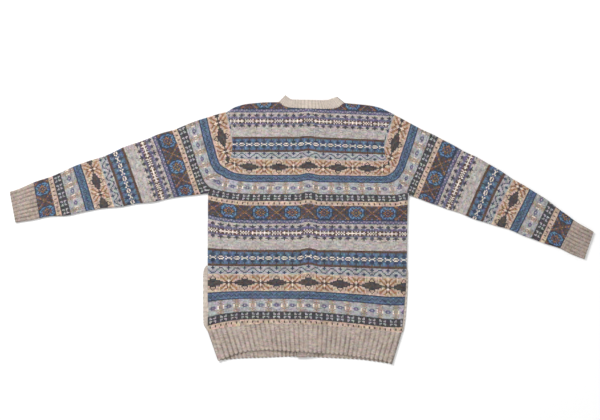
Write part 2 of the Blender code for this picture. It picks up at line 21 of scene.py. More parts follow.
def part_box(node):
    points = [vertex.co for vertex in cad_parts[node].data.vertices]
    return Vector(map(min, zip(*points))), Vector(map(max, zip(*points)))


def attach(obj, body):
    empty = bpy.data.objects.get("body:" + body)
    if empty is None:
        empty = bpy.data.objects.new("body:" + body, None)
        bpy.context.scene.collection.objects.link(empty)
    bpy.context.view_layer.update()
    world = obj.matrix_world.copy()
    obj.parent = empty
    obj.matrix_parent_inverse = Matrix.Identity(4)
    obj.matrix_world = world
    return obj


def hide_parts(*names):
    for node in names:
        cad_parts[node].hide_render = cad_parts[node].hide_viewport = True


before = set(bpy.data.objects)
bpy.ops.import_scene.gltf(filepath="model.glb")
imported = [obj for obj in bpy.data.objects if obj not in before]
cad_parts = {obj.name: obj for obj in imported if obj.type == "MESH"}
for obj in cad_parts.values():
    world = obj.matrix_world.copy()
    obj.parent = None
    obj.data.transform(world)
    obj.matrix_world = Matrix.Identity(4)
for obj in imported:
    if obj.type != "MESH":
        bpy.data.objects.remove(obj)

LOG = logging.getLogger("cardigan")

Field = np.ndarray
Value = Field | float
Place = tuple[Field, Field]
Plan = Callable[[Field, Field], Place]
Surface = Callable[[Field, Field], Field]
Rows = tuple[tuple[float, ...], ...]
Span = tuple[float, float]
Shade = tuple[int, int, int]
Grain = tuple[float, float, float]
Choice = TypeVar("Choice")

Piece = bpy.types.Object
Material = bpy.types.Material
Tree = bpy.types.NodeTree
Node = bpy.types.Node
Output = bpy.types.NodeSocket
Feed = Output | float | tuple[float, ...]

ORIGIN = np.array([-16.5, 325.9, 0.0])  # the frame's origin in the plan's millimetres
CLOTH = 2.6  # thickness of the knitted wall
AIR = 0.4  # clearance between two layers that lie on each other
SEAM = 0.06  # what is left between two pieces that are sewn together
HEIGHT = 2 * CLOTH + AIR  # the garment's two layers
MID = HEIGHT / 2
LAYER = CLOTH + AIR  # the rise of a layer that lies on another
LEAST_RISE = 0.1  # of a surface off the middle level
FOLD_OUT, FOLD_IN = HEIGHT / 2, AIR / 2  # outer and inner radius of a folded side
FOLD_STEPS = np.array([0.0, 18.0, 36.0, 54.0, 72.0, 90.0])
EDGE_STEPS = np.array([0.0, 0.3, 0.8, 1.5])  # distance from a cut edge, where the wall rounds off
FREE_RIM, SEWN_RIM = 0.15, 0.80  # what is left of the wall at a cast-off and at a sewn edge
RIB_STITCHES = 4  # columns of a rib and its furrow
FURROW = 3.0  # the column that lies deepest in the furrow
RIB_COURSE = 3.0  # height of a rib's stitch
RIB_LINES, FINE_RIB_LINES = 8, 6  # grid lines to a rib of the hem, and to one of the fine ribs


class Hand(Enum):
    """Side of the garment, with the sign of its x."""

    LEFT = -1
    RIGHT = 1

    @property
    def label(self) -> str:
        """The hand's word in a piece's name."""
        return self.name.lower()

    def pick(self, left: Choice, right: Choice) -> Choice:
        """One of a pair."""
        return left if self is Hand.LEFT else right


class Side(Enum):
    """How a sheet ends: folded over, cast off, or sewn to its neighbour."""

    FOLD = "fold"
    FREE = "free"
    SEWN = "sewn"


def mix(low: Value, high: Value, share: Value) -> Field:
    """A value part of the way from low to high."""
    return low + (high - low) * share


def smooth(value: Value, start: float, end: float) -> Field:
    """0 up to start, 1 from end, with a soft turn at both."""
    share = np.clip((value - start) / (end - start), 0.0, 1.0)
    return share * share * (3 - 2 * share)


def flowing(value: Value, places: Sequence[float], heights: Sequence[float]) -> Field:
    """A soft line through points that never swings past them.

    Args:
        value: where to read the line.
        places: rising places of its points.
        heights: its height at each of them.

    Returns:
        The line's height at each value, level beyond both ends.
    """
    places, heights = np.asarray(places, float), np.asarray(heights, float)
    gaps = np.diff(places)
    slopes = np.diff(heights) / gaps
    product = slopes[:-1] * slopes[1:]
    total = np.where(np.abs(slopes[:-1] + slopes[1:]) > 1e-12, slopes[:-1] + slopes[1:], 1.0)
    middle = np.where(product > 0, 2 * product / total, 0.0)
    tangents = np.concatenate([slopes[:1], middle, slopes[-1:]])
    value = np.clip(value, places[0], places[-1])
    k = np.clip(np.searchsorted(places, value, side="right") - 1, 0, len(gaps) - 1)
    t = (value - places[k]) / gaps[k]
    rise = heights[k] * (1 + 2 * t) * (1 - t) ** 2 + heights[k + 1] * t**2 * (3 - 2 * t)
    return rise + gaps[k] * (tangents[k] * t * (1 - t) ** 2 - tangents[k + 1] * t**2 * (1 - t))


def column(rows: Rows, value: Value, number: int = 1) -> Field:
    """A table's column as a soft line over its first one."""
    return flowing(value, [row[0] for row in rows], [row[number] for row in rows])


def evenly(rows: Rows, share: Field) -> list[Field]:
    """Each column of a table as a soft line, with its rows evenly spaced over a share."""
    places = np.linspace(0, 1, len(rows))
    return [flowing(share, places, part) for part in zip(*rows)]


def apart(a: Place, b: Place) -> Field:
    """Distance between two places on the plan."""
    return np.hypot(a[0] - b[0], a[1] - b[1])


# --- The garment's outline ---


@dataclass(frozen=True)
class Line:
    """A line across the garment, by its points (x, y)."""

    points: Rows

    def y(self, x: Value) -> Field:
        """The line's height at x."""
        return column(self.points, x)

    def end(self, hand: Hand) -> Span:
        """Its point at one side of the garment."""
        return hand.pick(self.points[0], self.points[-1])

    def x(self, share: Value) -> Field:
        """x at a share of the way from its left end to its right one."""
        return mix(self.points[0][0], self.points[-1][0], share)


@dataclass(frozen=True)
class BandTop:
    """Where a front band ends at the neck: on the seam, and on the free edge."""

    seam_x: float
    seam_y: float
    free_x: float
    free_y: float


@dataclass(frozen=True)
class Outline:
    """The plans of the body's pieces, each from shares u across and v up to (x, y)."""

    # Share of the height from the rib's seam to the shoulder tip, and x of the left and right side.
    sides: Rows = (
        (0, -261, 244), (0.1174, -261, 250.5), (0.2155, -261, 255), (0.3233, -261, 257),
        (0.5096, -260.5, 258.5), (0.6298, -260, 260), (0.6641, -246, 248), (0.6982, -231.5, 234),
        (0.7333, -217.5, 220.5), (0.7684, -207, 210), (0.8035, -199.5, 201.5), (0.8448, -196.5, 198.5),
        (0.8859, -197, 199.5), (0.9148, -198.8, 203), (0.9439, -201.5, 208), (0.9719, -205.5, 214.5),
        (1, -211, 222),
    )
    underarm: float = 0.6298
    side_seam_end: float = 0.6077
    top: Line = Line((
        (-211, 632), (-188.5, 645), (-161, 652.6), (-133.6, 655.5), (-106.6, 657.3), (-76.7, 657.5),
        (-61, 647), (-46, 643.2), (-20, 641.7), (13, 640.6), (44, 639.8), (62, 640.2), (78, 643.8),
        (96, 655), (119.6, 653), (156, 649.5), (183.6, 644), (222, 627),
    ))
    neck: Span = (-76.7, 96.0)  # x of the neck's left and right end
    neck_turn: float = 3.0  # over which the shoulder's fold gives way to the neck's edge
    back_seam: Line = Line((
        (-261, 62.5), (-226, 70), (-190, 74), (-166, 78), (-107, 81.5), (-29, 80.5), (57, 76),
        (127, 70.5), (203, 62), (244, 58),
    ))
    front_seam: Line = Line(((-261.0, 62.5), (-13.0, 70.0), (244.0, 58.0)))
    back_hem: Line = Line((
        (-234, -15.6), (-223.6, -12.6), (-202.8, -3.6), (-176.8, 5.5), (-144.3, 10.4), (-106.6, 12),
        (-33.8, 9.1), (18.2, 5.5), (57.2, 3.1), (104, -1.8), (153.4, -9.1), (189.8, -14),
        (219, -23.5),
    ))
    front_hem: Line = Line((
        (-234, -15.6), (-213.2, -13), (-176.8, -9.6), (-106.6, -7.3), (-33.8, -4.5), (28.6, -6.8),
        (78, -9.1), (127.4, -11.7), (178.1, -17.9), (219, -24.2),
    ))
    # A place on the neck seam (x), and the place on the neckband's free edge (x, y).
    neckband: Rows = (
        (-76.7, -58.5, 676), (-61, -51, 669.5), (-46, -42, 665), (-20, -20, 664), (13, 13, 663.5),
        (44, 36, 663), (62, 50, 663.6), (78, 61.5, 667), (96, 76, 671.5),
    )
    band_width: float = 26.0
    band_low_y: float = -6.0
    band_at_hem_x: float = -16.0
    band_straight_y: float = 450.0
    v_bottom_y: float = 400.0
    v_curve: float = 1.2
    band_top_left: BandTop = BandTop(-76.7, 657.5, -58.5, 676.0)
    band_top_right: BandTop = BandTop(96.0, 655.0, 76.0, 671.5)
    # A pocket welt by rows: x and y at the garment's side, and y at its inner edge.
    welt_left: Rows = (
        (-263, 63.4, 63.4), (-272, 84, 88), (-272.7, 136, 136), (-272.7, 206, 204), (-270.5, 222, 219),
        (-265, 232, 231),
    )
    welt_right: Rows = (
        (247.5, 59, 59), (252, 82, 84), (257, 136, 136), (260, 200, 200), (260, 216, 216),
        (257.5, 227, 227),
    )
    # x of a welt's inner edge at its lower and its upper end.
    welt_left_inner: Span = (-247.5, -247.5)
    welt_right_inner: Span = (230.0, 243.0)
    notch_run: float = 8.0

    def side_x(self, share: Value, hand: Hand) -> Field:
        """x of the body's side at a share of its height."""
        return column(self.sides, share, hand.pick(1, 2))

    def side_y(self, share: Value, hand: Hand) -> Field:
        """Height of the body's side at a share of it."""
        return mix(self.back_seam.end(hand)[1], self.top.end(hand)[1], share)

    def side_x_at(self, y: Value, hand: Hand) -> Field:
        """x of the body's side at a height."""
        low, high = self.side_y(0.0, hand), self.top.end(hand)[1]
        return self.side_x((y - low) / (high - low), hand)

    def band_middle(self, y: Value) -> Field:
        """x of the front bands' middle line."""
        return self.band_at_hem_x * (1 - y / self.band_straight_y)

    def band_top(self, hand: Hand) -> BandTop:
        """The band's end at the neck."""
        return hand.pick(self.band_top_left, self.band_top_right)

    def band_edge(self, y: Value, hand: Hand) -> tuple[Field, Field, Field]:
        """The seam edge of a front band and its free edge.

        Args:
            y: height on the seam edge.
            hand: which band.

        Returns:
            x of the seam edge, then x and y of the matching place on the free edge.
        """
        top = self.band_top(hand)
        out = hand.value * self.band_width / 2
        middle = self.band_middle(np.minimum(y, self.v_bottom_y))
        rise = np.maximum((y - self.v_bottom_y) / (top.seam_y - self.v_bottom_y), 0.0)
        part = rise**self.v_curve
        free_y = np.where(rise > 0, mix(self.v_bottom_y, top.free_y, rise), y)
        return mix(middle + out, top.seam_x, part), mix(middle - out, top.free_x, part), free_y

    def back(self, u: Field, v: Field) -> Place:
        """The back: u from the left side, v from the rib's seam to the shoulder and neck."""
        x = mix(self.side_x(v, Hand.LEFT), self.side_x(v, Hand.RIGHT), u)
        return x, mix(self.back_seam.y(self.back_seam.x(u)), self.top.y(self.top.x(u)), v)

    def front_rows(self, hand: Hand) -> Span:
        """Lowest and highest place of the seam between a front and its band."""
        x = self.band_middle(self.front_seam.points[0][1]) + hand.value * self.band_width / 2
        return float(self.front_seam.y(x)), self.band_top(hand).seam_y

    def welt_inner(self, y: Field, hand: Hand) -> Field:
        """x of a pocket welt's inner edge at a height."""
        rows = hand.pick(self.welt_left, self.welt_right)
        ends = hand.pick(self.welt_left_inner, self.welt_right_inner)
        return np.interp(y, (rows[0][2], rows[-1][2]), ends)

    def welt_top(self, hand: Hand) -> float:
        """Height of the pocket's opening, just above its welt."""
        return hand.pick(self.welt_left, self.welt_right)[-1][2] + SEAM

    def front_ends(self, hand: Hand, v: Field) -> Place:
        """x of a front at its side, which gives way to the pocket welt, and at its band.

        Args:
            hand: which front.
            v: share from the rib's seam up.

        Returns:
            Both places.
        """
        y = mix(self.front_seam.end(hand)[1], self.top.end(hand)[1], v)
        inner = self.welt_inner(y, hand) - hand.value * SEAM
        back_out = np.clip((y - self.welt_top(hand)) / self.notch_run, 0.0, 1.0)
        side = mix(inner, self.side_x(v, hand), back_out)
        return side, self.band_edge(mix(*self.front_rows(hand), v), hand)[0] + hand.value * SEAM

    def front(self, hand: Hand, u: Field, v: Field) -> Place:
        """A front: u from the side to the band, v from the rib's seam to the shoulder."""
        low = self.front_seam.y(mix(*self.front_ends(hand, np.zeros_like(v)), u))
        high = self.top.y(mix(self.top.end(hand)[0], hand.pick(*self.neck), u))
        return mix(*self.front_ends(hand, v), u), mix(low, high, v)

    def back_rib(self, u: Field, v: Field) -> Place:
        """The back's rib, whose upper edge follows the back's lower one."""
        top_x, top_y = self.back(u, np.zeros_like(v))
        low_x = self.back_hem.x(u)
        return mix(low_x, top_x, v), mix(self.back_hem.y(low_x), top_y - SEAM, v)

    def front_rib(self, hand: Hand, u: Field, v: Field) -> Place:
        """A front's rib.

        Args:
            hand: which front.
            u: share from the side seam to the band.
            v: share from the hem up.

        Returns:
            The place on the plan.
        """
        low, high = self.band_low_y, self.front_rows(hand)[0]
        low_end, top_end = (self.band_edge(y, hand)[0] + hand.value * SEAM for y in (low, high))
        low_x = mix(self.front_hem.end(hand)[0], low_end, u)
        top_x = mix(self.front_seam.end(hand)[0], top_end, u)
        return mix(low_x, top_x, v), mix(self.front_hem.y(low_x), self.front_seam.y(top_x) - SEAM, v)

    def band(self, hand: Hand, u: Field, v: Field) -> Place:
        """A front band: u from the seam edge to the free edge, v from the hem to the neck."""
        y = mix(self.band_low_y, self.band_top(hand).seam_y, v)
        seam_x, free_x, free_y = self.band_edge(y, hand)
        return mix(seam_x, free_x, u), mix(y, free_y, u)

    def neck_rib(self, u: Field, v: Field) -> Place:
        """The neckband's back part, from the neck seam to its free edge."""
        seam_x, free_x, free_y = evenly(self.neckband, u)
        return mix(seam_x, free_x, v), mix(self.top.y(seam_x) + SEAM, free_y, v)

    def welt(self, hand: Hand, u: Field, v: Field) -> Place:
        """A pocket welt: u from the garment's side inwards, v from its lower end up."""
        outer_x, outer_y, inner_y = evenly(hand.pick(self.welt_left, self.welt_right), v)
        y = mix(outer_y, inner_y, u)
        return mix(outer_x, self.welt_inner(y, hand), u), y


@dataclass(frozen=True)
class FoldLine:
    """A line across a flattened tube, by its ends on the upper and the lower fold."""

    top_x: float
    top_y: float
    low_x: float
    low_y: float

    def at(self, t: Value) -> Place:
        """The place a share t down the line."""
        return mix(self.top_x, self.low_x, t), mix(self.top_y, self.low_y, t)


@dataclass(frozen=True)
class SleeveShape:
    """A sleeve and its cuff, pressed flat: t from the upper fold to the lower, s along."""

    outline: Outline
    hand: Hand
    junction: FoldLine
    end: FoldLine
    bow: float
    bow_place: float

    def start(self, t: Value) -> Place:
        """The place on the body's side that a share t down the armhole meets."""
        share = mix(1, self.outline.underarm, t)
        return self.outline.side_x(share, self.hand), self.outline.side_y(share, self.hand)

    def sleeve(self, t: Field, s: Field) -> Place:
        """The sleeve's plan, from the armhole to the cuff's seam, with its upper fold bowed.

        Args:
            t: share from the upper fold to the lower one.
            s: share from the armhole to the cuff.

        Returns:
            The place on the plan.
        """
        sign, tip, wrist = self.hand.value, self.start(0.0), self.junction.at(0.0)
        length = apart(tip, wrist)
        (start_x, start_y), (end_x, end_y) = self.start(t), self.junction.at(t)
        power = math.log(0.5) / math.log(self.bow_place)
        bow = self.bow * np.sin(math.pi * np.clip(s, 0, 1) ** power) * (1 - t)
        out_x, out_y = abs(wrist[1] - tip[1]) / length * sign, abs(wrist[0] - tip[0]) / length
        return mix(start_x + sign * SEAM, end_x, s) + bow * out_x, mix(start_y, end_y, s) + bow * out_y

    def cuff(self, t: Field, s: Field) -> Place:
        """The cuff's plan, from its seam with the sleeve to its end."""
        s = mix(SEAM / apart(self.end.at(0.0), self.junction.at(0.0)), 1, s)
        start, end = self.junction.at(t), self.end.at(t)
        return mix(start[0], end[0], s), mix(start[1], end[1], s)


# --- Lifts: how far the layers below raise each piece ---


@dataclass(frozen=True)
class Lifts:
    """Rises over the buttons and over the bands where they lie on each other."""

    outline: Outline
    buttons: int = 6
    pitch: float = 77.0
    first_y: float = 20.0
    thickness: float = 3.0
    # Each rise is whole up to the first measure and gone at the second.
    reach: Span = (12.0, 36.0)  # from a button, along the band
    spread: Span = (16.0, 46.0)  # and across it
    climb_width: float = 35.0
    band_fall: Span = (458.0, 505.0)
    ridge_across: Span = (22.0, 80.0)
    ridge_band_fall: Span = (462.0, 530.0)
    ridge_button_fall: Span = (420.0, 475.0)

    @property
    def button_rise(self) -> float:
        """How far a button raises the band over it."""
        return self.thickness + AIR

    def button(self, x: Field, y: Field) -> Field:
        """Rise over the nearest button.

        Args:
            x, y: places on the plan.

        Returns:
            The rise in millimetres.
        """
        places = [self.first_y + k * self.pitch for k in range(self.buttons)]
        nearest = np.min([np.abs(y - place) for place in places], axis=0)
        along = 1 - smooth(nearest, *self.reach)
        across = 1 - smooth(np.abs(x - self.outline.band_middle(y)), *self.spread)
        return self.button_rise * along * across

    def over_band(self, y: Field) -> Field:
        """Rise of the right band, which lies on the left one up to the V."""
        return LAYER * (1 - smooth(y, *self.band_fall))

    def right_front(self, x: Field, y: Field) -> Field:
        """Rise of the right front, which climbs to its band."""
        seam = self.outline.band_edge(y, Hand.RIGHT)[0]
        climb = 1 - smooth(x - seam, 0.0, self.climb_width)
        return self.button(x, y) + self.over_band(y) * climb

    def right_band(self, x: Field, y: Field) -> Field:
        """Rise of the right band over the left one and the buttons."""
        return self.button(x, y) + self.over_band(y)

    def ridge(self, x: Field, y: Field) -> Field:
        """Rise of the back over the bands and the buttons.

        Args:
            x, y: places on the plan.

        Returns:
            The rise in millimetres.
        """
        middle = self.outline.band_middle(np.minimum(y, self.outline.band_straight_y))
        across = 1 - smooth(np.abs(x - middle), *self.ridge_across)
        over_bands = LAYER * (1 - smooth(y, *self.ridge_band_fall))
        over_buttons = self.button_rise * (1 - smooth(y, *self.ridge_button_fall))
        return across * (over_bands + over_buttons)

    def none(self, x: Field, y: Field) -> Field:
        """No rise."""
        return np.zeros_like(x)


# --- Creases ---


@dataclass(frozen=True)
class Crease:
    """A soft ridge from start to end, with a gentle and a steeper side."""

    start: Span
    end: Span
    height: float
    gentle: float
    steep: float
    bow: float
    taper: Span = (0.08, 0.92)  # the part of a half wave that its height follows
    blunt: float = 0.6  # the lower, the blunter its ends
    tail: float = 0.7  # how far it runs out past them, in widths

    def rise(self, x: Field, y: Field) -> Field:
        """The ridge's height at each place.

        Args:
            x, y: places on the plan.

        Returns:
            The height in millimetres.
        """
        run_x, run_y = self.end[0] - self.start[0], self.end[1] - self.start[1]
        length = math.hypot(run_x, run_y)
        along = ((x - self.start[0]) * run_x + (y - self.start[1]) * run_y) / length**2
        across = ((x - self.start[0]) * run_y - (y - self.start[1]) * run_x) / length
        t = np.clip(along, 0.0, 1.0)
        across = across - self.bow * 4 * t * (1 - t)
        width = np.where(across > 0, self.gentle, self.steep)
        past = (along - t) * length / (self.tail * (self.gentle + self.steep))
        fade = np.sin(math.pi * mix(*self.taper, t)) ** self.blunt * np.exp(-(past**2))
        return self.height * fade * np.exp(-((across / width) ** 2))


@dataclass(frozen=True)
class Drape:
    """All the creases, shared out over the garment's height so that no layer meets another."""

    # Each crease by its start, end, height, gentle and steep side, and bow.
    creases: tuple[tuple[Span, Span, float, float, float, float], ...] = (
        # Pulled from the left underarm into the back, and from the right one.
        ((-252, 408), (-150, 300), 2.3, 15, 9, 8), ((-236, 440), (-120, 392), 1.6, 16, 10, -6),
        ((-205, 520), (-172, 420), 1.5, 13, 9, 6), ((250, 405), (160, 288), 2.4, 10, 17, -8),
        ((232, 446), (112, 404), 1.5, 16, 10, 6), ((206, 530), (178, 428), 1.6, 9, 14, -5),
        # The shoulders.
        ((-178, 640), (-110, 560), 1.2, 18, 12, 5), ((190, 636), (126, 548), 1.3, 12, 18, -6),
        ((-64, 612), (70, 606), 0.9, 14, 11, -6),
        # Down the back, beside the ridge over the bands.
        ((-82, 560), (-74, 330), 1.2, 20, 13, -8), ((92, 520), (88, 350), 1.1, 13, 22, 6),
        ((-190, 300), (-205, 140), 1.9, 20, 13, 10), ((-128, 250), (-118, 96), 1.5, 12, 20, -8),
        ((120, 262), (136, 110), 1.6, 20, 12, 9), ((206, 270), (214, 96), 1.8, 13, 19, -7),
        ((-60, 196), (46, 168), 1.0, 15, 12, 6), ((-230, 226), (-150, 214), 1.1, 13, 10, 4),
        ((150, 330), (236, 318), 1.2, 12, 14, -4),
        # The rib drawn in at the hem's sides.
        ((-214, 74), (-206, 0), 1.3, 13, 9, 3), ((-92, 78), (-96, 14), 0.8, 14, 11, 0),
        ((104, 70), (98, 2), 0.9, 13, 15, 0), ((200, 66), (190, -10), 1.3, 9, 14, -3),
        # The left sleeve.
        ((-238, 590), (-330, 470), 2.6, 17, 11, 10), ((-262, 440), (-380, 486), 2.2, 14, 10, -8),
        ((-330, 560), (-430, 500), 2.0, 18, 12, 8), ((-400, 400), (-470, 500), 1.7, 13, 17, -7),
        ((-480, 520), (-560, 420), 2.3, 11, 16, 7), ((-560, 478), (-680, 452), 1.8, 15, 10, 5),
        ((-590, 382), (-640, 452), 1.6, 12, 15, -5), ((-650, 462), (-700, 370), 1.4, 14, 9, 4),
        ((-706, 425), (-764, 404), 1.0, 12, 9, 2), ((-700, 372), (-762, 358), 1.5, 9, 7, 1),
        ((-680, 391), (-764, 366), -2.0, 3.4, 2.6, 1),
        # The right sleeve.
        ((240, 592), (322, 460), 2.5, 11, 17, -9), ((262, 432), (372, 470), 2.1, 10, 15, 8),
        ((350, 572), (446, 470), 2.2, 16, 11, 8), ((420, 376), (486, 470), 1.7, 17, 12, 7),
        ((470, 512), (540, 388), 2.4, 12, 17, -8), ((548, 330), (590, 430), 1.7, 15, 11, 5),
        ((590, 432), (650, 330), 1.9, 11, 15, -6), ((640, 384), (684, 300), 1.3, 12, 10, 4),
        ((684, 330), (738, 300), 1.1, 11, 9, 2),
    )
    below: float = 0.30  # the lowest layer's share of a crease
    # Waves by which the sleeves' folds wander: length, height, start, and turn across.
    waves: Rows = ((118, 1.2, 0.6, 0.9), (71, 0.6, 2.1, -1.7), (205, 1.3, 4.0, 1.2))
    wave_run: float = 60.0  # height over which a wave turns by its last measure
    wave_start: Span = (262.0, 340.0)  # distance from the middle over which the waves set in

    def rise(self, x: Field, y: Field) -> Field:
        """The creases' height over the whole garment, in millimetres."""
        return sum(Crease(*crease).rise(x, y) for crease in self.creases)

    def aside(self, x: Field, y: Field) -> Field:
        """How far up the garment the sleeves' cloth wanders, in millimetres."""
        total = sum(
            height * np.sin(math.tau * x / length + start + turn * y / self.wave_run)
            for length, height, start, turn in self.waves
        )
        return total * smooth(np.abs(x), *self.wave_start)

    def over(self, points: Field) -> Field:
        """Points raised by the creases, and on the sleeves moved a little aside.

        Args:
            points: places (..., 3) in the plan's millimetres.

        Returns:
            The places as the cloth lies.
        """
        x, y, z = points[..., 0], points[..., 1], points[..., 2]
        layer = np.clip(z / HEIGHT, 0.0, 1.0)
        z = np.maximum(z + self.rise(x, y) * mix(self.below, 1.0, layer), 0.0)
        return np.stack([x, y + self.aside(x, y), z], axis=-1)


# --- Gauge: which stitch lies at each place ---


@dataclass(frozen=True)
class SleeveGauge:
    """Courses of a sleeve, counted from its cuff, on its upper and its lower fold."""

    shape: SleeveShape
    upper_pitch: Span  # at the cuff, and what each millimetre of run adds
    lower_pitch: Span
    fold_column: Span  # column on the upper fold at the armhole and at the cuff
    first_course: float = -13.0
    # By share from the upper fold down: courses that the armhole's curve adds.
    armhole_pull: Rows = (
        (0, 0.3), (0.12, 1.4), (0.25, 2.4), (0.40, 2.9), (0.55, 3.3), (0.70, 2.4), (0.85, 1), (1, 0),
    )
    pull_run: Span = (395.0, 465.0)  # the distance from the cuff over which they come in
    inward_pitch: float = 3.4  # of the courses carried on over the body

    def course(self, t: Field, s: Field) -> Field:
        """The sleeve's course.

        Args:
            t: share from the upper fold to the lower one.
            s: share from the armhole to the cuff.

        Returns:
            The course at each place.
        """
        run = (1 - s) * apart(self.shape.start(t), self.shape.junction.at(t))
        upper, lower = (low + more * run for low, more in (self.upper_pitch, self.lower_pitch))
        pull = column(self.armhole_pull, t) * smooth(run, *self.pull_run)
        return self.first_course + run / mix(upper, lower, t) + pull

    def width(self, course: Field) -> Field:
        """Distance from the upper fold to the lower one along a course.

        Args:
            course: the course at each place.

        Returns:
            The distance in millimetres.
        """
        count = course - self.first_course
        ends = []
        for t, (low, more) in ((0.0, self.upper_pitch), (1.0, self.lower_pitch)):
            start, end = self.shape.start(t), self.shape.junction.at(t)
            part = count * low / (1 - count * more) / apart(start, end)
            ends.append((mix(end[0], start[0], part), mix(end[1], start[1], part)))
        return apart(*ends)

    def beyond(self, x: Field, y: Field) -> Field:
        """The sleeve's courses carried on over the body.

        Args:
            x, y: places on the plan.

        Returns:
            The course at each place.
        """
        outline, hand = self.shape.outline, self.shape.hand
        high, low = self.shape.start(0.0)[1], self.shape.start(1.0)[1]
        t = np.clip((high - y) / (high - low), 0.0, 1.0)
        inward = (outline.side_x_at(y, hand) - x) * hand.value
        return self.course(t, np.zeros_like(t)) + inward / self.inward_pitch


@dataclass(frozen=True)
class Gauge:
    """Courses and columns of the charted knitting on the body and the sleeves."""

    outline: Outline
    sleeves: tuple[SleeveGauge, ...]
    first_course_y: float = 81.0
    course_pitch: float = 2.98
    course_ease: float = 0.000968
    lowest_course: float = 0.32
    column_x: float = 1.0
    column_pitch: Span = (3.45, 3.20)
    column_change: Span = (375.0, 480.0)  # the heights between which that pitch changes
    sleeve_column_pitch: Span = (2.80, 2.50)
    corner: float = 8.5  # softness, in courses, of the turn from the body's bands to a sleeve's
    corner_rise: Span = (421.0, 446.0)  # where the turn opens above the underarm
    corner_end: Span = (492.0, 512.0)  # and where a seam stands in its place
    # The courses droop above the rib, climb to the left underarm, fall towards the right
    # shoulder, and bulge over the front bands. Each row is a rise in millimetres, the height at
    # which it starts and the height at which it has its full size.
    left_lie: Rows = ((-18, 210, 62), (15.5, 190, 410), (-15.5, 478, 530))
    right_lie: Rows = ((-2.5, 0, 58), (-17.5, 300, 58), (-6, 442, 560))
    middle_lie: Rows = ((5, 150, 230), (-2.4, 500, 560))
    left_from: float = -140.0  # x where the left side's lie begins; it is whole at the side
    right_from: float = -10.0
    right_run: float = 208.0  # to where the right side's lie is whole
    middle_x: float = 1.5
    middle_reach: float = 31.0
    lip: float = 4.5  # a small lift at the right underarm
    lip_across: Span = (225.0, 252.0)
    lip_low: Span = (350.0, 385.0)
    lip_high: Span = (430.0, 460.0)
    catch_up: float = 130.0  # height over which a front's courses meet the back's

    def bend(self, x: Field, y: Field) -> Field:
        """How far the courses lie above their level line.

        Args:
            x, y: places on the plan.

        Returns:
            The rise in millimetres.
        """

        def lie(rows: Rows) -> Field:
            """How far one part of the courses lies off its level line."""
            return sum(size * smooth(y, start, full) for size, start, full in rows)

        left_side = self.outline.side_x_at(y, Hand.LEFT)
        left = np.clip((self.left_from - x) / (self.left_from - left_side), 0.0, 1.0) ** 2
        right = np.clip((x - self.right_from) / self.right_run, 0.0, 1.05) ** 1.2
        near = np.clip(np.abs(x - self.middle_x) / self.middle_reach, 0.0, 1.0)
        middle = 0.5 + 0.5 * np.cos(math.pi * near)
        lip = self.lip * smooth(x, *self.lip_across)
        lip = lip * smooth(y, *self.lip_low) * (1 - smooth(y, *self.lip_high))
        sides = lie(self.left_lie) * left + lie(self.right_lie) * right
        return sides + lie(self.middle_lie) * middle + lip

    def level(self, x: Field, y: Field) -> Field:
        """The body's own course at each place, from the rib's seam up."""
        above = y - self.bend(x, y) - self.first_course_y
        under = np.maximum(self.course_pitch**2 - 4 * self.course_ease * above, 0.1)
        course = (self.course_pitch - np.sqrt(under)) / (2 * self.course_ease)
        return np.maximum(course, self.lowest_course)

    def turned(self, level: Field, other: Field, y: Field) -> Field:
        """The lower of the body's and the sleeve's course, with a soft corner between them."""
        soft = self.corner * smooth(y, *self.corner_rise) + 0.01
        near = np.maximum(soft - np.abs(other - level), 0.0) / soft
        return np.minimum(other, level) - near**2 * soft / 4

    def body(self, x: Field, y: Field) -> Field:
        """Column and course of the body at each place.

        Args:
            x, y: places on the plan.

        Returns:
            The stitch coordinates (..., 2).
        """
        pitch = mix(*self.column_pitch, smooth(y, *self.column_change))
        corner = smooth(y, *self.corner_rise) * (1 - smooth(y, *self.corner_end))
        level = course = self.level(x, y)
        for sleeve in self.sleeves:
            course = mix(course, self.turned(course, sleeve.beyond(x, y), y), corner)
        return np.stack([(x - self.column_x) / pitch + 0.5, np.minimum(course, level)], axis=-1)

    def front(self, x: Field, y: Field) -> Field:
        """Column and course of a front, which starts the chart at its own seam and soon catches up."""
        seam = self.outline.front_seam.y(x)
        late = np.maximum(self.first_course_y + self.bend(x, seam) - seam, 0.0)
        return self.body(x, y + late * (1 - smooth(y - seam, 0.0, self.catch_up)))

    def sleeve(self, hand: Hand, t: Field, s: Field, turn: Field, x: Field, y: Field) -> Field:
        """Column and course of a sleeve.

        Args:
            hand: which sleeve.
            t: share from the upper fold to the lower one.
            s: share from the armhole to the cuff.
            turn: share round from the upper fold to the lower one, below 0 on the underside.
            x, y: places on the plan.

        Returns:
            The stitch coordinates (..., 2).
        """
        gauge = hand.pick(*self.sleeves)
        course = self.turned(self.level(x, y), gauge.course(t, s), y)
        across = turn * gauge.width(course) / mix(*self.sleeve_column_pitch, s)
        return np.stack([mix(*gauge.fold_column, s) + across + 0.5, course], axis=-1)


# --- Walls of cloth ---


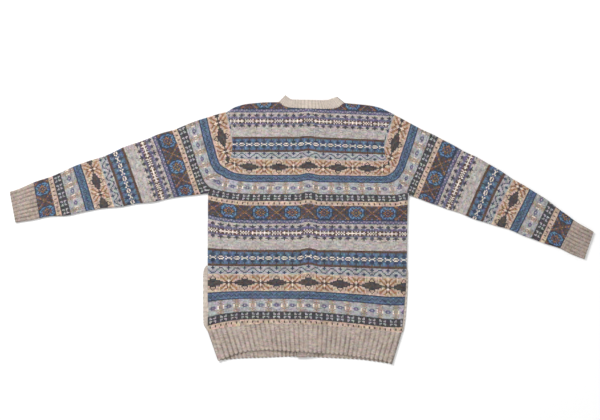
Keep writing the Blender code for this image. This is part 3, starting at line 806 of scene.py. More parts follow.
@dataclass(frozen=True)
class Lines:
    """Grid lines across a sheet, with the fold or the cut edge that each belongs to."""

    place: Field
    side: Field
    angle: Field
    inset: Field
    thin: Field
    folded: Field

    @classmethod
    def between(cls, low: Side, high: Side, count: int) -> "Lines":
        """Evenly spaced lines, with closer ones at a folded or a cut side.

        Args:
            low: how the sheet ends at share 0.
            high: how it ends at share 1.
            count: number of gaps between the sides.

        Returns:
            The lines, in order.
        """

        def ending(kind: Side, place: float, side: float) -> list[tuple[float, ...]]:
            """The lines of one side, outermost first."""
            if kind is Side.FOLD:
                return [(place, side, angle, 0.0, 1.0, 1.0) for angle in FOLD_STEPS]
            rim = FREE_RIM if kind is Side.FREE else SEWN_RIM
            thin = mix(rim, 1.0, np.sqrt(1 - (1 - EDGE_STEPS / EDGE_STEPS[-1]) ** 2))
            return [(place, side, 90.0, inset, share, 0.0) for inset, share in zip(EDGE_STEPS, thin)]

        inside = [(k / count, 0.0, 90.0, 0.0, 1.0, 0.0) for k in range(1, count)]
        rows = ending(low, 0.0, -1.0) + inside + ending(high, 1.0, 1.0)[::-1]
        return cls(*(np.array(part, float) for part in zip(*rows)))

    def standing(self) -> "Lines":
        """The same lines as a column, for the rows of a grid."""
        parts = (self.place, self.side, self.angle, self.inset, self.thin, self.folded)
        return Lines(*(part[:, None] for part in parts))

    def share(self, span: Field, wrap: Field, inner: bool) -> Field:
        """Where each line runs.

        Args:
            span: the sheet's extent across these lines, in millimetres.
            wrap: how far a folded side turns over, from 0, a cut edge, to 1.
            inner: the inner surface, which turns on a smaller radius.

        Returns:
            The share of the span for each line.
        """
        cosine = np.cos(np.radians(self.angle))
        fold = FOLD_OUT * (1 - cosine)
        if inner:
            fold = mix(fold, FOLD_OUT - FOLD_IN * cosine, wrap)
        part = np.where(self.folded > 0, fold, self.inset) / span
        return np.where(self.side < 0, part, np.where(self.side > 0, 1 - part, self.place))

    def kept(self, wrap: Field) -> Field:
        """Share of the fold's height that each line keeps."""
        return 1 - wrap * (1 - np.sin(np.radians(np.abs(self.angle))))


def whole(place: Field) -> Field:
    """A side that is folded all along."""
    return np.ones_like(place)


def none_folded(place: Field) -> Field:
    """A side that isn't folded."""
    return np.zeros_like(place)


def off_middle(thin: Field, inner: bool) -> Field:
    """How far a surface lies from the level between the layers."""
    middle, half = (FOLD_OUT + FOLD_IN) / 2, (FOLD_OUT - FOLD_IN) / 2
    return middle - half * thin if inner else middle + half * thin


@dataclass(frozen=True)
class Rib:
    """Furrows of a rib over a wall: how many, how deep, and from which place they start."""

    count: float
    depth: float = 1.15
    start: float = 0.0
    crossing: bool = False  # the furrows run across the sheet instead of up it
    sharpness: float = 2.5  # the higher, the narrower the furrows
    inner_share: float = 0.6  # of the depth on the inner surface

    def stitch(self, share: Field) -> Field:
        """The stitch column at a share across the ribs."""
        return share * self.count * RIB_STITCHES + self.start

    def furrow(self, share: Field) -> Field:
        """0 on a rib and 1 in a furrow."""
        return (0.5 - 0.5 * np.cos(math.tau * (self.stitch(share) - 1) / RIB_STITCHES)) ** self.sharpness

    def carve(self, share: Field, inner: bool) -> Field:
        """How much further out a surface lies; the inner one has its furrows under the ribs."""
        if inner:
            return self.inner_share * self.depth * self.furrow(share + 0.5 / self.count)
        return -self.depth * self.furrow(share)


@dataclass(frozen=True)
class Wall:
    """A sheet's two surfaces: its plan, lines, folds, rib and lift."""

    plan: Plan
    across: Lines
    up: Lines
    lift: Surface
    on_top: bool
    fold_across: Callable[[Field], Field] = whole
    fold_up: Callable[[Field], Field] = whole
    rib: Rib | None = None

    def surface(self, inner: bool) -> Field:
        """Places of the outer or the inner surface.

        Args:
            inner: the surface towards the garment's other layer.

        Returns:
            An array (rows, columns, 3) in millimetres.
        """
        u, v = np.meshgrid(self.across.place, self.up.place)
        zero, one, up = np.zeros_like(u), np.ones_like(u), self.up.standing()
        wrap_u, wrap_v = self.fold_across(v), self.fold_up(u)
        span_u = apart(self.plan(zero, v), self.plan(one, v))
        span_v = apart(self.plan(u, zero), self.plan(u, one))
        share_u = self.across.share(span_u, wrap_u, inner) * one
        share_v = up.share(span_v, wrap_v, inner) * one
        x, y = self.plan(share_u, share_v)
        thin = self.across.thin * up.thin
        radius = off_middle(thin, inner)
        if self.rib:
            radius = radius + thin * self.rib.carve(v if self.rib.crossing else u, inner)
        rise = np.maximum(radius * self.across.kept(wrap_u) * up.kept(wrap_v), LEAST_RISE)
        return np.stack([x, y, MID + (rise if self.on_top else -rise) + self.lift(x, y)], axis=-1)

    def surfaces(self) -> Place:
        """The outer and the inner surface."""
        return self.surface(False), self.surface(True)


@dataclass(frozen=True)
class Tube:
    """A sleeve or cuff pressed flat, unrolled from its lower fold over the top and back under."""

    plan: Plan
    stops: int
    rings: int
    start: Side
    end: Side
    rib: Rib | None = None

    def loop(self) -> Lines:
        """Lines round the tube; the last one lies on the first.

        Returns:
            The lines, whose angle is above 0 on the top side.
        """
        inside = [k / self.stops for k in range(1, self.stops)]
        rows = [(1.0, 1.0, angle) for angle in FOLD_STEPS]
        rows += [(stop, 0.0, 90.0) for stop in reversed(inside)]
        rows += [(0.0, -1.0, angle) for angle in FOLD_STEPS[::-1]]
        rows += [(0.0, -1.0, -angle) for angle in FOLD_STEPS[1:]]
        rows += [(stop, 0.0, -90.0) for stop in inside]
        rows += [(1.0, 1.0, -angle) for angle in FOLD_STEPS[::-1]]
        place, side, angle = (np.array(part, float) for part in zip(*rows))
        return Lines(place, side, angle, np.zeros_like(place), np.ones_like(place), np.abs(side))

    def along(self) -> Lines:
        """Lines across the tube, from its start to its end."""
        return Lines.between(self.start, self.end, self.rings)

    def surface(self, inner: bool) -> Place:
        """Places of the outer or the inner surface, and how far round each lies.

        Args:
            inner: the surface inside the tube.

        Returns:
            An array (rings, lines, 3) in millimetres, and the distance (rings, lines) from
            the upper fold, above 0 on the top side.
        """
        loop, along = self.loop(), self.along().standing()
        t, _ = np.meshgrid(loop.place, along.place[:, 0])
        zero, one = np.zeros_like(t), np.ones_like(t)
        length = apart(self.plan(t, zero), self.plan(t, one))
        share_s = along.share(length, zero, inner) * one
        span = apart(self.plan(zero, share_s), self.plan(one, share_s))
        x, y = self.plan(loop.share(span, one, inner), share_s)
        thin = along.thin * one
        radius = off_middle(thin, inner)
        sine = np.sin(np.radians(loop.angle))
        steps = np.hypot(np.hypot(np.diff(x), np.diff(y)), np.diff(radius * sine))
        run = np.concatenate([zero[:, :1], np.cumsum(steps, axis=1)], axis=1)
        if self.rib:
            radius = radius + thin * self.rib.carve(run / run[:, -1:], inner)
        upper = 2 * len(FOLD_STEPS) + self.stops - 2  # the line on the upper fold
        points = np.stack([x, y, MID + radius * sine], axis=-1)
        return points, run[:, upper : upper + 1] - run


# Where the outer and the inner surface are laid out for baking: a start and an extent across,
# and the same up, on a piece that is wider than high and on another.
WIDE_LAYOUT = ((0.01, 0.98, 0.39, 0.60), (0.01, 0.98, 0.05, 0.31))
HIGH_LAYOUT = ((0.01, 0.63, 0.05, 0.94), (0.67, 0.32, 0.05, 0.94))
RIM_START, RIM_EXTENT = 0.01, 0.98  # the strips of the rims, under both
RIM_LOW, RIM_HIGH, RIM_PITCH = 0.001, 0.008, 0.009
RIM_STITCH = 0.9  # how far, in stitches, a rim runs on


@dataclass
class KnitMesh:
    """A closed wall of cloth made into one piece of the scene."""

    name: str
    outer: Field
    inner: Field
    stitches: Field
    tube: bool = False

    def rims(self) -> list[tuple[Field, Field, Span]]:
        """The grid's open edges.

        Returns:
            Rows and columns along each, and the way its stitches run on.
        """
        rows, columns = self.outer.shape[:2]
        i, j = np.arange(columns), np.arange(rows)
        last_row, last_column = np.full_like(i, rows - 1), np.full_like(j, columns - 1)
        found = [(np.zeros_like(i), i, (0.0, -1.0)), (last_row, i[::-1], (0.0, 1.0))]
        if not self.tube:
            found += [(j, last_column, (1.0, 0.0)), (j[::-1], np.zeros_like(j), (-1.0, 0.0))]
        return found

    def bake_places(self) -> list[Field]:
        """The piece laid out for baking, true to its size.

        Returns:
            Places of the outer and of the inner surface, which lies beside it or under it.
        """
        sizes = []
        for axis in (0, 1):
            steps = np.linalg.norm(np.diff(self.outer, axis=axis), axis=-1).mean(axis=1 - axis)
            sizes.append(np.concatenate([[0.0], np.cumsum(steps)]))
        up, wide = sizes
        a, b = np.meshgrid(wide / wide[-1], up / up[-1])
        layout = WIDE_LAYOUT if wide[-1] > up[-1] else HIGH_LAYOUT
        return [np.stack([x + width * a, y + height * b], axis=-1) for x, width, y, height in layout]

    def build(self, drape: Drape) -> Piece:
        """Makes the object, in metres at its place in the frame.

        Args:
            drape: the garment's creases.

        Returns:
            The new object.
        """
        rows, columns = self.outer.shape[:2]
        wide = columns - 1 if self.tube else columns
        index = np.arange(rows * wide).reshape(rows, wide)
        if self.tube:
            index = np.concatenate([index, index[:, :1]], axis=1)
        shell = rows * wide
        points = np.concatenate([grid[:, :wide].reshape(-1, 3) for grid in (self.outer, self.inner)])
        points = drape.over(points)

        def quads(grid: Field) -> Field:
            """A grid's values at each of its squares' corners."""
            corners = [grid[:-1, :-1], grid[:-1, 1:], grid[1:, 1:], grid[1:, :-1]]
            return np.stack(corners, axis=2).reshape(-1, 4, *grid.shape[2:])

        # The outer surface, the inner one turned round, and then the rims between them.
        faces = [quads(index), quads(index)[:, ::-1] + shell]
        stitches = [quads(self.stitches), quads(self.stitches)[:, ::-1]]
        bake_outer, bake_inner = self.bake_places()
        bakes = [quads(bake_outer), quads(bake_inner)[:, ::-1]]
        for number, (j, i, way) in enumerate(self.rims()):
            a, b = index[j[:-1], i[:-1]], index[j[1:], i[1:]]
            faces.append(np.stack([b, a, a + shell, b + shell], axis=1))
            first, second = self.stitches[j[:-1], i[:-1]], self.stitches[j[1:], i[1:]]
            past = np.array(way) * RIM_STITCH
            stitches.append(np.stack([second, first, first + past, second + past], axis=1))
            place = RIM_START + RIM_EXTENT * np.linspace(0, 1, len(a) + 1)
            start, end = place[:-1], place[1:]
            low, high = RIM_LOW + RIM_PITCH * number, RIM_HIGH + RIM_PITCH * number
            strip = [(end, low), (start, low), (start, high), (end, high)]
            bakes.append(np.stack([np.stack([p, np.full_like(p, q)], axis=1) for p, q in strip], axis=1))
        faces, stitches, bakes = (np.concatenate(part) for part in (faces, stitches, bakes))
        corners = points[faces]
        crossed = np.cross(corners[:, 2] - corners[:, 0], corners[:, 3] - corners[:, 1])
        if (corners.mean(axis=1) * crossed).sum() < 0:  # inside out
            faces, stitches, bakes = faces[:, ::-1], stitches[:, ::-1], bakes[:, ::-1]
        mesh = bpy.data.meshes.new(self.name)
        mesh.from_pydata(((points - ORIGIN) / 1000).tolist(), [], faces.tolist())
        for name, values in (("Stitches", stitches), ("OFBake", bakes)):
            layer = mesh.uv_layers.new(name=name)
            layer.data.foreach_set("uv", values.reshape(-1).astype(np.float32))
        mesh.uv_layers.active = mesh.uv_layers["Stitches"]
        mesh.uv_layers["Stitches"].active_render = True
        wrong = mesh.attributes.new("wrong_side", "FLOAT", "POINT")
        wrong.data.foreach_set("value", (np.arange(len(points)) >= shell).astype(np.float32))
        mesh.shade_smooth()
        piece = bpy.data.objects.new(self.name, mesh)
        bpy.context.scene.collection.objects.link(piece)
        return piece


# --- Yarns and the chart ---


def linear(shade: Shade) -> tuple[float, float, float, float]:
    """A display shade from 0 to 255 as the light that a shader works in."""
    parts = [value / 255 for value in shade]
    return (*(p / 12.92 if p <= 0.04045 else ((p + 0.055) / 1.055) ** 2.4 for p in parts), 1.0)


class Yarn(Enum):
    """The dyed yarns, by their letter in the chart and their shade on the knitting."""

    PEACH = ("p", (196, 173, 157))
    CREAM = ("q", (226, 213, 202))
    OATMARL = ("e", (176, 168, 165))
    MIST = ("g", (168, 167, 169))
    PEARL = ("c", (179, 170, 165))
    CHARCOAL = ("k", (71, 70, 73))
    BROWN = ("b", (92, 74, 66))
    RUST = ("r", (154, 114, 86))
    TAN = ("t", (160, 139, 124))
    NAVY = ("n", (60, 69, 88))
    DENIM = ("d", (90, 106, 128))
    SKY = ("s", (100, 128, 160))
    PURPLE = ("u", (106, 102, 126))
    LAVENDER = ("v", (158, 152, 170))

    @property
    def letter(self) -> str:
        """Its letter in the chart."""
        return self.value[0]

    @property
    def shade(self) -> Shade:
        """Its shade."""
        return self.value[1]


@dataclass(frozen=True)
class Band:
    """Some courses of the chart, from the lowest up: half of a mirrored 24-stitch repeat each."""

    name: str
    rows: str
    mirrored: bool = False  # the rows lead up to the band's middle course and back

    @property
    def courses(self) -> tuple[str, ...]:
        """Its courses."""
        rows = tuple(self.rows.split())
        return rows + rows[-2::-1] if self.mirrored else rows


@dataclass(frozen=True)
class FairIsleChart:
    """The banded pattern: 107 courses of up to four yarns, repeated up the garment."""

    bands: tuple[Band, ...] = (
        Band("peach with specks", "ppppppppppppp ppbpppbpppbpp ppbpppbpppbpp ppppppppppppp"),
        Band(
            "charcoal with small petals",
            "kkkkkkkkkkkkk kkgkkkgkkkgkk kggkkkggkggkk kkkkkkkkkkkkk",
            mirrored=True,
        ),
        Band(
            "mist with lozenges and crosses",
            "gggggtttggggg ggggtgtgtgggg gggggtttggggg ggggtgtgtgggg uuggqtttqgguu guugqtgtqguug",
            mirrored=True,
        ),
        Band(
            "denim zigzag",
            "nnnnnnnnnnnnn ddsdddsdddsdd ddndddndddndd dndndndndndnd ndddndddndddn sdddsdddsddds"
            " nnnnnnnnnnnnn",
        ),
        Band(
            "peach with leaves and sprays",
            "ppppppppppppp bppppprpprrpp pbpptprrpprrp ppbptprrrppbr kkkppppprrprp kkkkkkppprrpq"
            " kkbkbkbkppbbq kbkbkbkkkkbkb",
            mirrored=True,
        ),
        Band(
            "mist with a wave",
            "ggggggngggggg nngggnnngggnn ggngggngggngg gggngggggnggg ngggngggngggn nngggnnngggnn"
            " ngggggggggggn",
        ),
        Band(
            "blue with crosses and diamonds",
            "bbbbbbbbbbbbb bbbbbbbbbbbbb bdddddbdddddb nddsddnddsddn nndsdnnndsdnn nndddnnndddnn"
            " ndqdnqqqndqdn qqndqnbnqdnqq",
            mirrored=True,
        ),
        Band("plain marl", " ".join(["eeeeeeeeeeeee"] * 8)),
        Band(
            "pearl, purple and brown with bars",
            "ccccccccccccc kccccckccccck kkcckkkkkcckk kucccukucccuk uuuuuuuuuuuuu bubvbubbbvbvb"
            " bqbqbbqbbqbbq qbqbbqqqqqqqq bqbqbbqbbqbbq bubvbubbbvbvb uuuuuuuuuuuuu uvuuuvuuuvuuu"
            " kucccukucccuk kkcckkkkkcckk kccccckccccck ccccccccccccc",
        ),
        Band("purple with specks", "nunununununun vuuuvuuuvuuuv uuvuuuvuuuvuu nnnnnnnnnnnnn"),
        Band(
            "brown with medallions",
            "ubbbubrbnnnnn nbbnbrbbnssns bbnbubbnsnssn bnbrbbnssnbbr nbubbnnsnsbub brbbnbnsnbrbn"
            " rbbnbbnnbrbnr",
            mirrored=True,
        ),
    )

    @property
    def courses(self) -> tuple[str, ...]:
        """All the courses, from the rib's seam up."""
        return tuple(course for band in self.bands for course in band.courses)

    def yarns(self, course: str) -> list[Yarn]:
        """The yarns of a course, as its ground and up to three more.

        Args:
            course: its letters.

        Returns:
            Four yarns; the ground stands in for those it doesn't have.
        """
        by_letter = {yarn.letter: yarn for yarn in Yarn}
        letters = list(dict.fromkeys(sorted(course, key=course.count, reverse=True)))
        if len(letters) > 4:
            raise ValueError(f"a course holds {len(letters)} yarns: {course}")
        found = [by_letter[letter] for letter in letters]
        return found + [found[0]] * (4 - len(found))

    def planes(self, course: str) -> tuple[int, int]:
        """Which stitches take which yarn of their course, as bits.

        Args:
            course: its letters.

        Returns:
            The stitches of the second and fourth yarn, and those of the third and fourth.
        """
        yarns = self.yarns(course)
        order = {yarn.letter: yarns.index(yarn) for yarn in yarns}
        first = sum(1 << k for k, letter in enumerate(course) if order[letter] in (1, 3))
        second = sum(1 << k for k, letter in enumerate(course) if order[letter] in (2, 3))
        return first, second


# --- Nodes ---


@dataclass
class Wiring:
    """Adds nodes to one tree and joins them."""

    tree: Tree

    def add(self, kind: str, **settings: object) -> Node:
        """A new node with its settings."""
        node = self.tree.nodes.new(kind)
        for name, value in settings.items():
            setattr(node, name, value)
        return node

    def feed(self, socket: Output, value: Feed) -> None:
        """Joins a socket to another, or sets its value."""
        if isinstance(value, Output):
            self.tree.links.new(value, socket)
        else:
            socket.default_value = value

    def give(self, node: Node, **feeds: Feed) -> Node:
        """Feeds a node's inputs by name, where underscores stand for spaces."""
        for name, value in feeds.items():
            self.feed(node.inputs[name.replace("_", " ")], value)
        return node

    def fill(self, node: Node, values: Sequence[Feed], numbers: Sequence[int] | None = None) -> Node:
        """Feeds a node's inputs in order, or those of some numbers."""
        for number, value in zip(numbers or range(len(values)), values):
            self.feed(node.inputs[number], value)
        return node

    def maths(self, operation: str, *values: Feed) -> Output:
        """The result of a Math node."""
        return self.fill(self.add("ShaderNodeMath", operation=operation), values).outputs[0]

    def plus(self, first: Feed, second: Feed) -> Output:
        """A sum."""
        return self.maths("ADD", first, second)

    def minus(self, first: Feed, second: Feed) -> Output:
        """A difference."""
        return self.maths("SUBTRACT", first, second)

    def times(self, first: Feed, second: Feed) -> Output:
        """A product."""
        return self.maths("MULTIPLY", first, second)

    def times_plus(self, first: Feed, second: Feed, third: Feed) -> Output:
        """A product with a third value added."""
        return self.maths("MULTIPLY_ADD", first, second, third)

    def floored(self, value: Feed, part: float = 1.0) -> Output:
        """How many whole parts a value holds."""
        return self.maths("FLOOR", self.maths("DIVIDE", value, part) if part != 1.0 else value)

    def bulge(self, value: Feed, power: float) -> Output:
        """1 where a value from 0 to 1 is half, and 0 at both its ends."""
        off = self.maths("ABSOLUTE", self.times(self.minus(value, 0.5), 2.0))
        return self.minus(1.0, self.maths("POWER", off, power))

    def blend(self, factor: Feed, first: Feed, second: Feed, how: str = "MIX") -> Output:
        """Two colours mixed."""
        node = self.add("ShaderNodeMix", data_type="RGBA", blend_type=how)
        return self.fill(node, (factor, first, second), (0, 6, 7)).outputs[2]

    def between(self, factor: Feed, first: Feed, second: Feed) -> Output:
        """Two values mixed."""
        node = self.add("ShaderNodeMix", data_type="FLOAT")
        return self.fill(node, (factor, first, second), (0, 2, 3)).outputs[0]

    def scaled(self, value: Feed, low: float, high: float, to_low: float, to_high: float) -> Output:
        """A value brought from one range to another, held at its ends."""
        node = self.add("ShaderNodeMapRange", interpolation_type="SMOOTHSTEP")
        return self.fill(node, (value, low, high, to_low, to_high)).outputs[0]

    def steps(self, factor: Feed, colours: Sequence[tuple[float, ...]]) -> Output:
        """One of up to 32 even steps of colour.

        Args:
            factor: where to read, at the middle of a thirty-second for each step.
            colours: the steps.

        Returns:
            The colour.
        """
        node = self.add("ShaderNodeValToRGB")
        ramp = node.color_ramp
        ramp.interpolation = "CONSTANT"
        ramp.elements[1].position = 1 / RAMP
        while len(ramp.elements) < len(colours):
            ramp.elements.new(len(ramp.elements) / RAMP)
        for element, colour in zip(ramp.elements, colours):
            element.color = colour
        return self.fill(node, (factor,)).outputs[0]

    def place(self) -> Output:
        """Object coordinates."""
        return self.add("ShaderNodeTexCoord").outputs["Object"]

    def noise(self, place: Feed, scale: float, detail: float, rough: float) -> Output:
        """A soft noise from 0 to 1."""
        node = self.add("ShaderNodeTexNoise")
        return self.give(node, Vector=place, Scale=scale, Detail=detail, Roughness=rough).outputs[0]

    def chance(self, *parts: Feed, kind: str = "Value") -> Output:
        """A value or a colour that differs for each set of whole numbers."""
        joined = self.fill(self.add("ShaderNodeCombineXYZ"), parts).outputs[0]
        node = self.add("ShaderNodeTexWhiteNoise", noise_dimensions="3D")
        return self.give(node, Vector=joined).outputs[kind]

    def group(self, tree: Tree, **feeds: Feed) -> Node:
        """Places a node group."""
        return self.give(self.add("ShaderNodeGroup", node_tree=tree), **feeds)

    def bump(self, shader: Node, height: Feed, strength: float, distance: float) -> None:
        """Raises a shader's surface by a height, which its distance turns to metres."""
        node = self.add("ShaderNodeBump")
        self.give(node, Strength=strength, Distance=distance, Height=height)
        self.give(shader, Normal=node.outputs[0])


RAMP = 32  # steps that a colour ramp holds
NUMBER, COLOUR = "NodeSocketFloat", "NodeSocketColor"


def new_group(name: str, given: dict[str, str], made: dict[str, str]) -> tuple[Wiring, Node, Node]:
    """An empty shader node group.

    Args:
        name: the group's name.
        given: its inputs, by name and kind.
        made: its outputs, by name and kind.

    Returns:
        The wiring of its tree, its input node and its output node.
    """
    tree = bpy.data.node_groups.new(name, "ShaderNodeTree")
    for way, sockets in (("INPUT", given), ("OUTPUT", made)):
        for socket, kind in sockets.items():
            tree.interface.new_socket(name=socket, in_out=way, socket_type=kind)
    wiring = Wiring(tree)
    return wiring, wiring.add("NodeGroupInput"), wiring.add("NodeGroupOutput")


STITCH = {"Stitch column": NUMBER, "Stitch course": NUMBER}


@dataclass(frozen=True)
class StitchGroup:
    """Knit stitches over columns and courses: which stitch, and how high its yarn stands."""

    slant: float = 0.62  # how far, in courses, the two legs of a stitch climb to its sides
    across: float = 2.2  # how squarely a leg stands up across itself, and along itself
    along: float = 3.5
    dip: float = 0.55  # share of its height that a leg loses at its ends
    back: float = 0.45  # and that the arch on the back loses
    shallow: float = 0.62  # the height from which nothing counts as hollow and gets no painted shade

    def build(self) -> Tree:
        """Makes the group, whose Purl input turns the stitches to their back.

        Returns:
            Its tree.
        """
        nodes, given, out = new_group(
            "Knit stitches",
            {"Column": NUMBER, "Course": NUMBER, "Purl": NUMBER},
            {**STITCH, "Height": NUMBER, "Hollow": NUMBER},
        )
        column, course, purl = given.outputs[:3]
        wale = nodes.maths("FRACT", column)
        leg = nodes.times(nodes.maths("ABSOLUTE", nodes.minus(wale, 0.5)), 2.0)
        climb = nodes.times(nodes.minus(0.5, leg), self.slant)
        turned = nodes.plus(course, nodes.times(climb, nodes.minus(1.0, purl)))
        # Each leg is round across and nearly level along.
        across = nodes.maths("MAXIMUM", nodes.bulge(leg, self.across), 0.0)
        along = nodes.bulge(nodes.maths("FRACT", turned), self.along)
        knit = nodes.times(nodes.maths("SQRT", across), nodes.times_plus(along, self.dip, 1 - self.dip))
        # From the back each stitch is a small arch lying across.
        arch = nodes.maths("SINE", nodes.times(nodes.maths("FRACT", course), math.pi))
        crown = nodes.maths("SINE", nodes.times(wale, math.pi))
        back = nodes.times(arch, nodes.times_plus(crown, self.back, 1 - self.back))
        height = nodes.between(purl, knit, back)
        # Hollow marks where the yarn lies low, which the wool darkens as painted shade.
        nodes.give(
            out,
            Stitch_column=nodes.floored(column),
            Stitch_course=nodes.floored(turned),
            Height=height,
            Hollow=nodes.scaled(height, 0.0, self.shallow, 1.0, 0.0),
        )
        return nodes.tree


@dataclass(frozen=True)
class ChartGroup:
    """The chart as a node group: the yarn's colour at each stitch, and at its back."""

    chart: FairIsleChart = FairIsleChart()
    repeat: int = 24
    float_run: float = 3.0  # stitches that a strand passes on the back
    bits: float = 8192.0  # more than a course's stitches make as bits
    middle: float = 0.25  # added to whole numbers, so that rounding can't drop one

    def build(self) -> Tree:
        """Makes the group, which reads each course's yarns and stitches from even steps.

        Returns:
            Its tree.
        """
        nodes, given, out = new_group(
            "Fair Isle chart", STITCH, {"Colour": COLOUR, "Float colour": COLOUR}
        )
        column, course = given.outputs[:2]
        courses = self.chart.courses
        row = nodes.maths("FLOORED_MODULO", nodes.plus(course, self.middle), float(len(courses)))
        row = nodes.floored(row)
        part = nodes.floored(nodes.plus(row, self.middle), float(RAMP))
        inside = nodes.minus(row, nodes.times(part, float(RAMP)))
        place = nodes.maths("DIVIDE", nodes.plus(inside, 0.5), float(RAMP))
        half = self.repeat // 2
        shifted = nodes.plus(column, half + self.middle)
        shifted = nodes.floored(nodes.maths("FLOORED_MODULO", shifted, float(self.repeat)))
        mirrored = nodes.maths("ABSOLUTE", nodes.minus(shifted, float(half)))
        power = nodes.maths("POWER", 2.0, mirrored)

        def read(steps: Sequence[tuple[float, ...]]) -> Output:
            """The step of this course, from as many ramps as the courses need."""
            found = nodes.steps(place, steps[:RAMP])
            for start in range(RAMP, len(steps), RAMP):
                later = nodes.maths("GREATER_THAN", part, start / RAMP - 0.5)
                found = nodes.blend(later, found, nodes.steps(place, steps[start : start + RAMP]))
            return found

        def bit(plane: Output) -> Output:
            """1 where this stitch's bit is set."""
            packed = nodes.times_plus(plane, self.bits, self.middle)
            dropped = nodes.maths("FLOOR", nodes.maths("DIVIDE", packed, power))
            return nodes.maths("FLOORED_MODULO", dropped, 2.0)

        planes = [self.chart.planes(course) for course in courses]
        stored = read([(a / self.bits, b / self.bits, 0.0, 1.0) for a, b in planes])
        packed = nodes.fill(nodes.add("ShaderNodeSeparateColor"), (stored,))
        first, second = bit(packed.outputs[0]), bit(packed.outputs[1])
        yarns = [self.chart.yarns(course) for course in courses]
        shades = [read([linear(row[k].shade) for row in yarns]) for k in range(4)]
        lower, upper = nodes.blend(first, *shades[:2]), nodes.blend(first, *shades[2:])
        strand = nodes.chance(nodes.floored(column, self.float_run), row)
        nodes.give(
            out,
            Colour=nodes.blend(second, lower, upper),
            Float_colour=nodes.blend(strand, *shades[:2]),
        )
        return nodes.tree


@dataclass(frozen=True)
class WoolGroup:
    """Heathered wool: uneven dye, mixed fibres, painted shade in the hollows between the yarn, and a fine
    fuzz.
    """

    # Scale, detail and roughness of each noise.
    fibre: Grain = (1400.0, 3.0, 0.7)
    patch: Grain = (26.0, 3.0, 0.55)
    fuzz: Grain = (2600.0, 2.0, 0.8)
    shift: float = 7.0  # stitches by which each course shifts its flecks
    fleck_run: float = 3.0  # stitches to a fleck
    fleck: float = 0.8  # how much it counts beside the single stitch
    fibre_share: float = 1.6
    patch_share: float = 0.30
    tint: float = 0.4
    seeds: Span = (5.0, 9.0)  # of the flecks and of their tints

    def build(self) -> Tree:
        """Makes the group, which works on Object coordinates.

        Returns:
            Its tree.
        """
        nodes, given, out = new_group(
            "Heathered wool",
            {"Colour": COLOUR, **STITCH, "Hollow": NUMBER, "Heather": NUMBER, "Shading": NUMBER},
            {"Wool colour": COLOUR, "Fuzz": NUMBER},
        )
        colour, column, course, hollow, heather, shading = given.outputs[:6]
        place = nodes.place()
        fibre, patch = nodes.noise(place, *self.fibre), nodes.noise(place, *self.patch)
        strand = nodes.floored(nodes.times_plus(course, self.shift, column), self.fleck_run)
        stitch, fleck = nodes.chance(column, course), nodes.chance(strand, course, self.seeds[0])
        spread = nodes.times_plus(fleck, self.fleck, stitch)
        spread = nodes.times(nodes.minus(spread, 0.5 + self.fleck / 2), heather)
        fibre_share = nodes.times(heather, self.fibre_share)
        spread = nodes.times_plus(nodes.minus(fibre, 0.5), fibre_share, spread)
        spread = nodes.times_plus(nodes.minus(patch, 0.5), self.patch_share, spread)
        # Painted shade: the hollows are darkened by the Shading share, while the heather's spread is the
        # yarn's own tone.
        lit = nodes.minus(1.0, nodes.times(hollow, shading))
        shade = nodes.times(nodes.plus(1.0, spread), lit)
        grey = nodes.fill(nodes.add("ShaderNodeCombineColor"), (shade, shade, shade)).outputs[0]
        tint = nodes.chance(strand, course, self.seeds[1], kind="Color")
        mixed = nodes.blend(nodes.times(heather, self.tint), colour, tint, "SOFT_LIGHT")
        heather_with_painted_shade = nodes.blend(1.0, mixed, grey, "MULTIPLY")
        nodes.give(out, Wool_colour=heather_with_painted_shade, Fuzz=nodes.noise(place, *self.fuzz))
        return nodes.tree


# --- Finishes ---


def new_material(name: str) -> tuple[Material, Wiring, Node]:
    """A material with a plain Principled shader.

    Args:
        name: its name.

    Returns:
        The material, the wiring of its tree, and the shader.
    """
    material = bpy.data.materials.new(name)
    material.use_nodes = True
    return material, Wiring(material.node_tree), material.node_tree.nodes["Principled BSDF"]


@dataclass(frozen=True)
class Groups:
    """The shader groups that several materials share."""

    stitches: Tree
    chart: Tree
    wool: Tree

    @classmethod
    def build(cls) -> "Groups":
        """Makes each group once."""
        return cls(StitchGroup().build(), ChartGroup().build(), WoolGroup().build())


